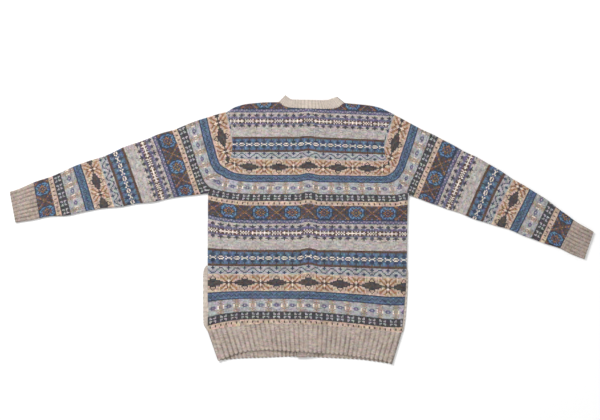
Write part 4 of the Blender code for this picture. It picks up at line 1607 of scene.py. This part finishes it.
@dataclass(frozen=True)
class KnitFinish:
    """A knitted finish: charted in colours, or in one yarn with its ribs."""

    name: str
    rib: Shade | None = None  # its yarn's colour on the ribs, and the darker painted shade deep between them, if it has ribs
    furrow: Shade | None = None
    heather: float = 0.50
    # shading: how far the stitches' hollows are darkened, as painted shade
    shading: float = 0.45
    relief: float = 0.0007
    relief_strength: float = 0.8
    fuzz: float = 0.25  # of the relief
    narrowness: float = 3.0  # of the painted shade in a furrow
    uneven: Grain = (18.0, 3.0, 0.6)  # scale, detail and roughness of the noise that varies the painted shade in the furrows

    def ribbed(self, nodes: Wiring, column: Output, wrong: Output) -> tuple[Output, Output]:
        """Which columns are purl, and the colour of a rib with painted shade in its furrows.

        Args:
            nodes: the material's wiring.
            column: the stitch column.
            wrong: 1 on the wrong side.

        Returns:
            1 on a purl column, and the colour, with painted shade in the furrows.
        """
        stitches = float(RIB_STITCHES)
        turned = nodes.maths("FLOORED_MODULO", column, stitches)
        turned = nodes.maths("GREATER_THAN", turned, stitches / 2)
        purl = nodes.maths("ABSOLUTE", nodes.minus(turned, wrong))
        lowest = nodes.times_plus(wrong, stitches / 2, FURROW)
        swing = nodes.times(nodes.minus(column, lowest), math.tau / stitches)
        swing = nodes.maths("COSINE", swing)
        # Painted shade: the colour darkens towards the furrow shade deep in each furrow, unevenly.
        deep = nodes.maths("POWER", nodes.times_plus(swing, 0.5, 0.5), self.narrowness)
        uneven = nodes.noise(nodes.place(), *self.uneven)
        deep = nodes.times(deep, nodes.scaled(uneven, 0.35, 0.65, 0.2, 1.0))
        return purl, nodes.blend(deep, linear(self.rib), linear(self.furrow))

    def build(self, groups: Groups) -> Material:
        """Makes the material.

        Args:
            groups: the shared shader groups.

        Returns:
            The material.
        """
        material, nodes, shader = new_material(self.name)
        uv = nodes.add("ShaderNodeUVMap", uv_map="Stitches").outputs[0]
        parts = nodes.fill(nodes.add("ShaderNodeSeparateXYZ"), (uv,))
        column, course = parts.outputs[:2]
        wrong = nodes.add("ShaderNodeAttribute", attribute_name="wrong_side").outputs["Fac"]
        wrong = nodes.maths("GREATER_THAN", wrong, 0.5)
        purl, colour = self.ribbed(nodes, column, wrong) if self.rib else (wrong, None)
        stitch = nodes.group(groups.stitches, Column=column, Course=course, Purl=purl)
        column, course, height, hollow = stitch.outputs[:4]
        place = {"Stitch_column": column, "Stitch_course": course}
        if not self.rib:
            chart = nodes.group(groups.chart, **place)
            colour = nodes.blend(wrong, *chart.outputs[:2])
        wool = nodes.group(
            groups.wool, Colour=colour, Hollow=hollow, Heather=self.heather, Shading=self.shading, **place
        )
        relief = nodes.times_plus(wool.outputs[1], self.fuzz, height)
        nodes.bump(shader, relief, self.relief_strength, self.relief)
        nodes.give(shader, Base_Color=wool.outputs[0], Roughness=0.92, Specular_IOR_Level=0.15)
        nodes.give(shader, Sheen_Weight=0.12, Sheen_Roughness=0.55)
        return material


@dataclass(frozen=True)
class HornFinish:
    """Brown horn: streaks, clouds, a soft polish that is duller in patches, and fine scratches."""

    name: str = "horn"
    dark: Shade = (52, 34, 24)
    pale: Shade = (138, 98, 62)
    cloudy: Shade = (84, 54, 34)
    stretch: Grain = (60.0, 420.0, 200.0)  # of the streaks, in each direction
    # Scale, detail and roughness of each noise.
    streaks: Grain = (1.0, 5.0, 0.6)
    clouds: Grain = (90.0, 3.0, 0.5)
    scratches: Grain = (1500.0, 2.0, 0.6)

    def build(self) -> Material:
        """Makes the material.

        Returns:
            The material.
        """
        material, nodes, shader = new_material(self.name)
        place = nodes.place()
        stretched = nodes.add("ShaderNodeMapping")
        nodes.give(stretched, Vector=place, Scale=self.stretch)
        streak = nodes.noise(stretched.outputs[0], *self.streaks)
        cloud = nodes.noise(place, *self.clouds)
        streak = nodes.scaled(streak, 0.35, 0.72, 0.0, 1.0)
        colour = nodes.blend(streak, linear(self.dark), linear(self.pale))
        colour = nodes.blend(nodes.scaled(cloud, 0.45, 0.7, 0.0, 0.5), colour, linear(self.cloudy))
        nodes.give(shader, Base_Color=colour, Roughness=nodes.scaled(cloud, 0.3, 0.7, 0.28, 0.42))
        scratches = nodes.noise(place, *self.scratches)
        nodes.bump(shader, scratches, strength=0.15, distance=0.0002)
        nodes.give(shader, Coat_Weight=0.25, Coat_Roughness=0.2)
        return material


@dataclass(frozen=True)
class ThreadFinish:
    """Sewing thread, twisted along its length, with painted shade in the grooves of the twist."""

    name: str = "sewing_thread"
    # The thread in the grooves of its twist, darkened as painted shade, and on its crests.
    dark: Shade = (118, 100, 84)
    pale: Shade = (150, 132, 112)

    def build(self) -> Material:
        """Makes the material.

        Returns:
            The material.
        """
        material, nodes, shader = new_material(self.name)
        twist = nodes.add("ShaderNodeTexWave", wave_type="BANDS", bands_direction="DIAGONAL")
        nodes.give(twist, Vector=nodes.place(), Scale=1200.0, Distortion=0.6)
        strand = twist.outputs["Fac"]
        # Painted shade: the colour darkens where the twist's bump is low.
        colour = nodes.blend(strand, linear(self.dark), linear(self.pale))
        nodes.bump(shader, strand, strength=0.5, distance=0.0002)
        nodes.give(shader, Base_Color=colour, Roughness=0.8)
        return material


@dataclass(frozen=True)
class FloorFinish:
    """A plain white studio floor with the least unevenness."""

    name: str = "studio_floor"
    dark: Shade = (248, 248, 248)
    pale: Shade = (252, 252, 252)
    clouds: Grain = (1.5, 2.0, 0.5)

    def build(self) -> Material:
        """Makes the material.

        Returns:
            The material.
        """
        material, nodes, shader = new_material(self.name)
        cloud = nodes.noise(nodes.place(), *self.clouds)
        colour = nodes.blend(cloud, linear(self.dark), linear(self.pale))
        nodes.give(shader, Base_Color=colour, Roughness=0.9, Specular_IOR_Level=0.1)
        return material


# --- The pieces ---


@dataclass(frozen=True)
class Garment:
    """What every piece shares: the outline, the lifts, the creases and the gauge."""

    outline: Outline
    lifts: Lifts
    drape: Drape
    gauge: Gauge

    @classmethod
    def cut(cls) -> "Garment":
        """Cuts the garment to the cardigan's own measures.

        Returns:
            What every piece shares.
        """
        outline = Outline()
        left = SleeveShape(
            outline,
            Hand.LEFT,
            junction=FoldLine(-714.0, 448.0, -698.0, 355.0),
            end=FoldLine(-776.0, 423.3, -761.0, 343.5),
            bow=6.0,
            bow_place=0.30,
        )
        right = SleeveShape(
            outline,
            Hand.RIGHT,
            junction=FoldLine(691.0, 351.5, 655.7, 276.6),
            end=FoldLine(743.0, 317.5, 719.0, 250.0),
            bow=14.0,
            bow_place=0.62,
        )
        sleeves = (
            SleeveGauge(left, (3.10, 0.0003), (3.49, -0.0002), (4.5, 2.0)),
            SleeveGauge(right, (3.36, -0.0001), (3.38, -0.0003), (4.5, 9.5)),
        )
        return cls(outline, Lifts(outline), Drape(), Gauge(outline, sleeves))


def plan_area(plan: Plan) -> float:
    """Area of a plan, over a grid of its shares.

    Args:
        plan: the plan.

    Returns:
        The area in square millimetres.
    """
    u, v = np.meshgrid(np.linspace(0, 1, 160), np.linspace(0, 1, 160))
    x, y = plan(u, v)
    across = (x[1:, 1:] - x[:-1, :-1], y[1:, 1:] - y[:-1, :-1])
    other = (x[1:, :-1] - x[:-1, 1:], y[1:, :-1] - y[:-1, 1:])
    return float(np.abs(across[0] * other[1] - across[1] * other[0]).sum() / 2)


def plan_extent(plan: Plan) -> Span:
    """Greatest width and height of a plan, along its shares.

    Args:
        plan: the plan.

    Returns:
        Both in millimetres.
    """
    u, v = np.meshgrid(np.linspace(0, 1, 60), np.linspace(0, 1, 60))
    x, y = plan(u, v)
    wide = np.hypot(np.diff(x, axis=1), np.diff(y, axis=1)).sum(axis=1).max()
    high = np.hypot(np.diff(x, axis=0), np.diff(y, axis=0)).sum(axis=0).max()
    return float(wide), float(high)


@dataclass
class KnittedPiece:
    """A sheet of the garment with its finish, over its node of the frame."""

    garment: Garment
    finish: Material

    def make(
        self,
        node: str,
        plan: Plan,
        surfaces: Place,
        stitches: Field,
        slot: str = "plain_rib",
        rests_on: Sequence[str] = (),
        tube: bool = False,
    ) -> Piece:
        """Makes the piece, dresses it and puts it in the place of its node.

        Args:
            node: the node that it stands for.
            plan: its plan, of which a tube shows half.
            surfaces: its outer and inner surface.
            stitches: column and course over the outer one.
            slot: not used.
            rests_on: not used.
            tube: whether it closes round on itself.

        Returns:
            The piece.
        """
        piece = KnitMesh(f"knit_{node}", *surfaces, stitches, tube).build(self.garment.drape)
        piece.data.materials.append(self.finish)
        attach(piece, "root")
        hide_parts(node)
        wide, high = plan_extent(plan)
        layers = 2 if tube else 1
        wide *= layers
        min(layers * plan_area(plan), 0.999 * wide * high) / 1e6
        return piece

    def sew(self, node: str, wall: Wall, surfaces: Place, rests_on: Sequence[str] = ()) -> Piece:
        """Makes a flat ribbed piece, with the stitches of its rib.

        Args:
            node: the node that it stands for.
            wall: its wall.
            surfaces: its outer and inner surface.
            rests_on: not used; passed on to make, which ignores it.

        Returns:
            The piece.
        """
        u, v = np.meshgrid(wall.across.place, wall.up.place)
        wide, high = plan_extent(wall.plan)
        over, along = (v, u * wide) if wall.rib.crossing else (u, v * high)
        stitches = np.stack([wall.rib.stitch(over), along / RIB_COURSE], axis=-1)
        return self.make(node, wall.plan, surfaces, stitches, rests_on=rests_on)


@dataclass
class BackPanel(KnittedPiece):
    """The knitted back, folded over at its side seams and shoulders."""

    columns: int = 124
    rows: int = 146

    def side_fold(self, v: Field) -> Field:
        """The folded side seam, which opens into the armhole."""
        outline = self.garment.outline
        return 1 - smooth(v, outline.side_seam_end, outline.underarm)

    def shoulder_fold(self, u: Field) -> Field:
        """The shoulders are folded, and the neck between them is a cut edge."""
        outline = self.garment.outline
        x, turn = outline.top.x(u), outline.neck_turn
        starts, ends = (smooth(x, place - turn, place + turn) for place in outline.neck)
        return 1 - starts * (1 - ends)

    def build(self) -> Piece:
        """Models the back.

        Returns:
            The piece.
        """
        across = Lines.between(Side.FOLD, Side.FOLD, self.columns)
        up = Lines.between(Side.SEWN, Side.FOLD, self.rows)
        plan, lift = self.garment.outline.back, self.garment.lifts.ridge
        outer, inner = Wall(plan, across, up, lift, True, self.side_fold, self.shoulder_fold).surfaces()
        stitches = self.garment.gauge.body(outer[..., 0], outer[..., 1])
        under = [f"knit_front_{hand.label}" for hand in Hand]
        return self.make("back", plan, (outer, inner), stitches, "patterned_knit", under)


@dataclass
class FrontPanel(KnittedPiece):
    """A knitted front, under the back, with its pocket's opening at the side."""

    hand: Hand
    columns: int = 66
    rows: int = 140
    closing: float = 14.0  # the fold closes within this height over the opening

    def side_fold(self, v: Field) -> Field:
        """The folded side, cut below at the pocket and above at the armhole."""
        outline = self.garment.outline
        low = outline.welt_top(self.hand) + outline.notch_run
        above = smooth(outline.side_y(v, self.hand), low, low + self.closing)
        return above * (1 - smooth(v, outline.side_seam_end, outline.underarm))

    def build(self) -> Piece:
        """Models the front.

        Returns:
            The piece.
        """
        lifts = self.garment.lifts
        across = Lines.between(Side.FOLD, Side.SEWN, self.columns)
        up = Lines.between(Side.SEWN, Side.FOLD, self.rows)
        plan = partial(self.garment.outline.front, self.hand)
        lift = self.hand.pick(lifts.button, lifts.right_front)
        outer, inner = Wall(plan, across, up, lift, False, self.side_fold).surfaces()
        stitches = self.garment.gauge.front(outer[..., 0], outer[..., 1])
        node = f"front_{self.hand.label}"
        return self.make(node, plan, (outer, inner), stitches, "patterned_knit")


@dataclass
class HemRib(KnittedPiece):
    """The hem's rib: one piece on the back, and one on each front."""

    hand: Hand | None = None  # the back's rib has none
    edge: float = 9.0  # height of the cast-off edge
    dip: float = 2.2  # how far it dips at each furrow
    flare: float = 1.5  # how far the back's stands off the fronts'
    rows: int = 16

    def build(self) -> Piece:
        """Models the rib, rib by rib.

        Returns:
            The piece.
        """
        outline, lifts = self.garment.outline, self.garment.lifts
        node, ribs, end = "hem_rib_back", 40, Side.FOLD
        under = [f"knit_hem_rib_front_{hand.label}" for hand in Hand]
        plan, lift, back = outline.back_rib, lifts.ridge, self.hand is None
        if not back:
            node, ribs, end, under = f"hem_rib_front_{self.hand.label}", 20, Side.SEWN, []
            plan = partial(outline.front_rib, self.hand)
            lift = self.hand.pick(lifts.button, lifts.right_front)
        across = Lines.between(Side.FOLD, end, ribs * RIB_LINES)
        up = Lines.between(Side.FREE, Side.SEWN, self.rows)
        wall = Wall(plan, across, up, lift, back, rib=Rib(ribs))
        surfaces = wall.surfaces()
        u, v = np.meshgrid(across.place, up.place)
        edge = (1 - np.clip(v * plan_extent(plan)[1] / self.edge, 0, 1)) ** 2
        for surface in surfaces:
            surface[..., 1] += self.dip * wall.rib.furrow(u) * edge
            if back:
                surface[..., 2] += self.flare * edge
        return self.sew(node, wall, surfaces, under)


@dataclass
class Sleeve(KnittedPiece):
    """A knitted sleeve, pressed flat."""

    shape: SleeveShape
    stops: int = 34
    rings: int = 128

    def build(self) -> Piece:
        """Models the sleeve.

        Returns:
            The piece.
        """
        plan, hand = self.shape.sleeve, self.shape.hand
        tube = Tube(plan, self.stops, self.rings, Side.SEWN, Side.SEWN)
        outer, around = tube.surface(False)
        t, s = np.meshgrid(tube.loop().place, tube.along().place)
        turn = 2 * around / (around[:, :1] - around[:, -1:])
        stitches = self.garment.gauge.sleeve(hand, t, s, turn, outer[..., 0], outer[..., 1])
        surfaces = outer, tube.surface(True)[0]
        return self.make(f"sleeve_{hand.label}", plan, surfaces, stitches, "patterned_knit", tube=True)


@dataclass
class Cuff(KnittedPiece):
    """A sleeve's ribbed cuff."""

    shape: SleeveShape
    ribs: int = 20
    rings: int = 14

    def build(self) -> Piece:
        """Models the cuff, rib by rib.

        Returns:
            The piece.
        """
        plan, rib = self.shape.cuff, Rib(self.ribs, start=1.0)
        tube = Tube(plan, self.ribs * RIB_STITCHES, self.rings, Side.SEWN, Side.FREE, rib)
        outer, around = tube.surface(False)
        across = rib.stitch((around[:, :1] - around) / (around[:, :1] - around[:, -1:]))
        up = (1 - tube.along().place[:, None]) * plan_extent(plan)[1] / RIB_COURSE
        stitches = np.stack([across, up * np.ones_like(across)], axis=-1)
        surfaces = outer, tube.surface(True)[0]
        return self.make(f"cuff_{self.shape.hand.label}", plan, surfaces, stitches, tube=True)


@dataclass
class FrontBand(KnittedPiece):
    """A ribbed front band, whose ribs run across it."""

    hand: Hand
    ribs: int = 96
    columns: int = 9

    def build(self) -> Piece:
        """Models the band.

        Returns:
            The piece.
        """
        plan, lifts = partial(self.garment.outline.band, self.hand), self.garment.lifts
        across = Lines.between(Side.SEWN, Side.FREE, self.columns)
        up = Lines.between(Side.FREE, Side.FOLD, self.ribs * FINE_RIB_LINES)
        lift, under = self.hand.pick((lifts.button, []), (lifts.right_band, ["knit_band_left"]))
        rib = Rib(self.ribs, depth=0.6, crossing=True)
        wall = Wall(plan, across, up, lift, False, none_folded, whole, rib)
        return self.sew(f"band_{self.hand.label}", wall, wall.surfaces(), under)


@dataclass
class Neckband(KnittedPiece):
    """The neckband's back part, in a fine rib."""

    ribs: int = 28
    rows: int = 8

    def build(self) -> Piece:
        """Models the neckband.

        Returns:
            The piece.
        """
        plan, lift = self.garment.outline.neck_rib, self.garment.lifts.none
        across = Lines.between(Side.FOLD, Side.FOLD, self.ribs * FINE_RIB_LINES)
        up = Lines.between(Side.SEWN, Side.FREE, self.rows)
        rib = Rib(self.ribs, depth=0.5)
        wall = Wall(plan, across, up, lift, True, whole, none_folded, rib)
        under = [f"knit_band_{hand.label}" for hand in Hand]
        return self.sew("neckband", wall, wall.surfaces(), under)


@dataclass
class PocketWelt(KnittedPiece):
    """A side pocket's welt, in a fine rib that runs across it."""

    hand: Hand
    ribs: int = 26
    columns: int = 7

    def build(self) -> Piece:
        """Models the welt.

        Returns:
            The piece.
        """
        plan, lift = partial(self.garment.outline.welt, self.hand), self.garment.lifts.none
        across = Lines.between(Side.FREE, Side.SEWN, self.columns)
        up = Lines.between(Side.SEWN, Side.SEWN, self.ribs * FINE_RIB_LINES)
        rib = Rib(self.ribs, depth=0.5, crossing=True)
        wall = Wall(plan, across, up, lift, False, none_folded, none_folded, rib)
        return self.sew(f"pocket_welt_{self.hand.label}", wall, wall.surfaces())


# --- Buttons ---


def new_cylinder(
    vertices: int, radius: float, depth: float, place: Vector, turn: Sequence[float] = (0, 0, 0)
) -> Piece:
    """Adds a cylinder, which is then the active object and the only one selected.

    Args:
        vertices: number of its sides.
        radius: its radius.
        depth: its length.
        place: its middle.
        turn: its rotation.

    Returns:
        The object.
    """
    bpy.ops.object.select_all(action="DESELECT")
    bpy.ops.mesh.primitive_cylinder_add(
        vertices=vertices, radius=radius, depth=depth, location=place, rotation=turn
    )
    return bpy.context.object


def select_faces(piece: Piece, wanted: Callable[[bpy.types.MeshPolygon], bool]) -> None:
    """Leaves the mesh in edit mode with the wanted faces selected.

    Args:
        piece: the object, already active.
        wanted: says whether a face is selected.
    """
    bpy.ops.object.mode_set(mode="EDIT")
    bpy.ops.mesh.select_mode(type="FACE")
    bpy.ops.mesh.select_all(action="DESELECT")
    bpy.ops.object.mode_set(mode="OBJECT")
    for face in piece.data.polygons:
        face.select = wanted(face)
    bpy.ops.object.mode_set(mode="EDIT")


@dataclass(frozen=True)
class Button:
    """A dished horn button with four holes, sewn on by crossed thread."""

    radius: float = 0.0100
    thickness: float = 0.0030
    dish_radius: float = 0.0064
    dish_depth: float = 0.0008
    dish_slope: float = 0.0007
    dish_turn: float = 0.0012  # width of the ring inside the slope
    dish_middle: float = 0.0001  # how much deeper the middle lies
    back_ring: float = 0.0016
    hole_radius: float = 0.0011
    hole_offset: float = 0.0023
    thread_radius: float = 0.00033
    thread_end: float = 0.0004  # how far a strand reaches past the holes
    thread_rise: float = 0.0016  # how deep its ends go in
    thread_apart: float = 0.00035  # half the distance between a pair of strands
    thread_sink: float = 0.0002  # how far a strand lies under the dish
    thread_cross: float = 0.0003  # and how much further the crossing pair
    bend_from: float = 0.55  # shares of its half length where it begins to bend, and runs on
    bend_run: float = 0.45
    bend_power: float = 1.5
    edge: float = 0.00035  # width of the rounded edges

    def disc(self, place: Vector) -> Piece:
        """Turns the disc: a rounded rim, a dish on the face below, and four holes.

        Args:
            place: the middle of the button.

        Returns:
            The object, with its place in its mesh.
        """
        disc = new_cylinder(64, self.radius, self.thickness, place)
        select_faces(disc, lambda face: face.normal.z < -0.9)
        bpy.ops.mesh.inset(thickness=self.radius - self.dish_radius - self.dish_slope)
        for width, deeper in ((self.dish_slope, self.dish_depth), (self.dish_turn, self.dish_middle)):
            bpy.ops.mesh.inset(thickness=width)
            bpy.ops.transform.translate(value=(0, 0, deeper))
        bpy.ops.object.mode_set(mode="OBJECT")
        select_faces(disc, lambda face: face.normal.z > 0.9)
        bpy.ops.mesh.inset(thickness=self.back_ring)
        bpy.ops.object.mode_set(mode="OBJECT")
        cutters = []
        for turn in range(4):
            angle = math.tau * (turn + 0.5) / 4
            offset = Vector((math.cos(angle), math.sin(angle), 0)) * self.hole_offset
            cutters.append(new_cylinder(16, self.hole_radius, 3 * self.thickness, place + offset))
        bpy.ops.object.select_all(action="DESELECT")
        disc.select_set(True)
        bpy.context.view_layer.objects.active = disc
        for cutter in cutters:
            hole = disc.modifiers.new("hole", "BOOLEAN")
            hole.object = cutter
            bpy.ops.object.modifier_apply(modifier=hole.name)
            bpy.data.objects.remove(cutter)
        soft = disc.modifiers.new("soft edges", "BEVEL")
        soft.width, soft.segments, soft.limit_method = self.edge, 3, "ANGLE"
        soft.angle_limit = math.radians(35)
        bpy.ops.object.modifier_apply(modifier=soft.name)
        bpy.ops.object.transform_apply(location=True, rotation=True, scale=True)
        bpy.ops.object.shade_smooth_by_angle(angle=math.radians(40))
        return disc

    def strand(self, place: Vector, turn: int, beside: float) -> Piece:
        """One strand over two opposite holes, whose ends dip into them.

        Args:
            place: the middle of the button.
            turn: 0 for one pair of holes and 1 for the other.
            beside: how far it lies to the side of the middle.

        Returns:
            The strand, with its place in its mesh.
        """
        angle = math.tau * (turn + 0.5) / 4
        side = Vector((-math.sin(angle), math.cos(angle), 0)) * beside
        level = place.z - self.thickness / 2 + self.dish_depth
        level -= self.thread_sink + self.thread_cross * turn
        middle = Vector((place.x, place.y, level)) + side
        length = 2 * self.hole_offset + 2 * self.thread_end
        turned = (math.pi / 2, 0, angle + math.pi / 2)
        strand = new_cylinder(10, self.thread_radius, length, middle, turned)
        bpy.ops.object.transform_apply(location=True, rotation=True, scale=True)
        bpy.ops.object.mode_set(mode="EDIT")
        bpy.ops.mesh.select_all(action="SELECT")
        bpy.ops.mesh.subdivide(number_cuts=5)
        bpy.ops.object.mode_set(mode="OBJECT")
        for vertex in strand.data.vertices:
            out = (vertex.co.xy - place.xy).length / (self.hole_offset + self.thread_end)
            bend = max(out - self.bend_from, 0.0) ** self.bend_power
            vertex.co.z += self.thread_rise * bend / self.bend_run**self.bend_power
        return strand

    def stitch(self, place: Vector) -> Piece:
        """Sews the four holes with two pairs of crossed strands.

        Args:
            place: the middle of the button.

        Returns:
            The threads as one object, with their place in their mesh.
        """
        sides = (-self.thread_apart, self.thread_apart)
        strands = [self.strand(place, turn, beside) for turn in range(2) for beside in sides]
        bpy.ops.object.select_all(action="DESELECT")
        for strand in strands:
            strand.select_set(True)
        bpy.context.view_layer.objects.active = strands[0]
        bpy.ops.object.join()
        bpy.ops.object.shade_smooth()
        return bpy.context.object


@dataclass
class ButtonRow:
    """The six buttons under the front bands."""

    garment: Garment
    button: Button = Button()

    def build(self, horn: Material, thread: Material) -> list[Piece]:
        """Models one button and its thread, and copies them to each place.

        Args:
            horn: the button's finish.
            thread: the thread's finish.

        Returns:
            The buttons and their threads.
        """
        middle = Vector((0, 0, self.button.thickness / 2))
        first = self.button.disc(middle), self.button.stitch(middle)
        for model, finish in zip(first, (horn, thread)):
            model.data.materials.clear()
            model.data.materials.append(finish)
        pieces = []
        for number in range(1, self.garment.lifts.buttons + 1):
            node = f"button_{number}"
            low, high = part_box(node)
            place = Vector(((low.x + high.x) / 2, (low.y + high.y) / 2, low.z))
            for model, name in zip(first, (f"horn_{node}", f"thread_{node}")):
                piece = bpy.data.objects.new(name, model.data.copy())
                piece.data.transform(self.at(place, number))
                bpy.context.scene.collection.objects.link(piece)
                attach(piece, "root")
                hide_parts(node)
                pieces.append(piece)
        for model in first:
            bpy.data.objects.remove(model)
        return pieces

    def at(self, place: Vector, number: int) -> Matrix:
        """The place of a button, each turned a little differently."""
        turn = math.radians((number * 37) % 23 - 11)
        return Matrix.Translation(place) @ Matrix.Rotation(turn, 4, "Z")


# --- The studio ---


@dataclass(frozen=True)
class Studio:
    """A pale floor, soft light and a camera straight above."""

    view_x: float = -0.0043
    view_y: float = 0.0511
    view_width: float = 1.56
    lens: float = 85.0
    sensor: float = 36.0
    level: float = 0.006  # of the garment's top
    floor_size: float = 12.0
    floor_level: float = -0.0006
    room: float = 0.55  # strength of the light from all around

    def floor(self) -> Piece:
        """Lays the floor just under the garment.

        Returns:
            The floor.
        """
        bpy.ops.object.select_all(action="DESELECT")
        bpy.ops.mesh.primitive_plane_add(size=self.floor_size, location=(0, 0, self.floor_level))
        floor = bpy.context.object
        floor.name = "studio_floor"
        floor.data.materials.append(FloorFinish().build())
        return floor

    def camera(self) -> Piece:
        """Hangs the camera over the garment, looking straight down.

        Returns:
            The camera.
        """
        data = bpy.data.cameras.new("camera")
        data.lens, data.sensor_width = self.lens, self.sensor
        camera = bpy.data.objects.new("camera", data)
        height = self.level + self.view_width * self.lens / data.sensor_width
        camera.location = (self.view_x, self.view_y, height)
        bpy.context.scene.collection.objects.link(camera)
        bpy.context.scene.camera = camera
        return camera

    def lights(self) -> None:
        """Hangs a large soft light to the upper left, a weak one opposite, and lights the room."""
        world = bpy.data.worlds.new("studio")
        world.use_nodes = True
        background = world.node_tree.nodes["Background"]
        background.inputs["Color"].default_value = (1.0, 1.0, 1.0, 1.0)
        background.inputs["Strength"].default_value = self.room
        bpy.context.scene.world = world
        for name, place, size, power in (
            ("key", (-1.7, 1.8, 2.2), 1.3, 88.0),
            ("fill", (2.0, -1.4, 2.4), 2.2, 22.0),
        ):
            data = bpy.data.lights.new(name, "AREA")
            data.shape, data.size, data.energy = "DISK", size, power
            light = bpy.data.objects.new(name, data)
            light.location = place
            light.rotation_euler = (-Vector(place)).to_track_quat("-Z", "Y").to_euler()
            bpy.context.scene.collection.objects.link(light)
        bpy.context.scene.view_settings.view_transform = "Standard"


def main() -> None:
    """Builds the cardigan piece by piece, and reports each."""
    logging.basicConfig(level=logging.INFO, format="%(name)s: %(message)s")
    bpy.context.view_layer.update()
    studio = Studio()
    studio.camera()
    studio.lights()
    studio.floor()
    garment = Garment.cut()
    groups = Groups.build()
    charted = KnitFinish("fair_isle_knit").build(groups)
    # The second shade of each ribbed finish is painted shade in its furrows.
    oatmeal = KnitFinish("oatmeal_rib", (187, 172, 162), (140, 124, 114), heather=0.36).build(groups)
    # The cuffs' finish is the oatmeal yarn darkened all over, as painted shade.
    shaded = KnitFinish("cuff_rib", (174, 159, 149), (134, 118, 108), heather=0.36).build(groups)
    pale = KnitFinish("pale_rib", (213, 200, 188), (190, 177, 165), heather=0.16).build(groups)
    shapes = [gauge.shape for gauge in garment.gauge.sleeves]
    made = [FrontPanel(garment, charted, hand).build() for hand in Hand]
    made += [HemRib(garment, oatmeal, hand).build() for hand in Hand]
    made += [FrontBand(garment, oatmeal, hand).build() for hand in Hand]
    made += [PocketWelt(garment, pale, hand).build() for hand in Hand]
    made += [BackPanel(garment, charted).build(), HemRib(garment, oatmeal).build()]
    made += [Sleeve(garment, charted, shape).build() for shape in shapes]
    made += [Cuff(garment, shaded, shape).build() for shape in shapes]
    made += [Neckband(garment, pale).build()]
    made += ButtonRow(garment).build(HornFinish().build(), ThreadFinish().build())
    for piece in made:
        LOG.info("%s: %d faces", piece.name, len(piece.data.polygons))


if __name__ == "__main__":
    main()
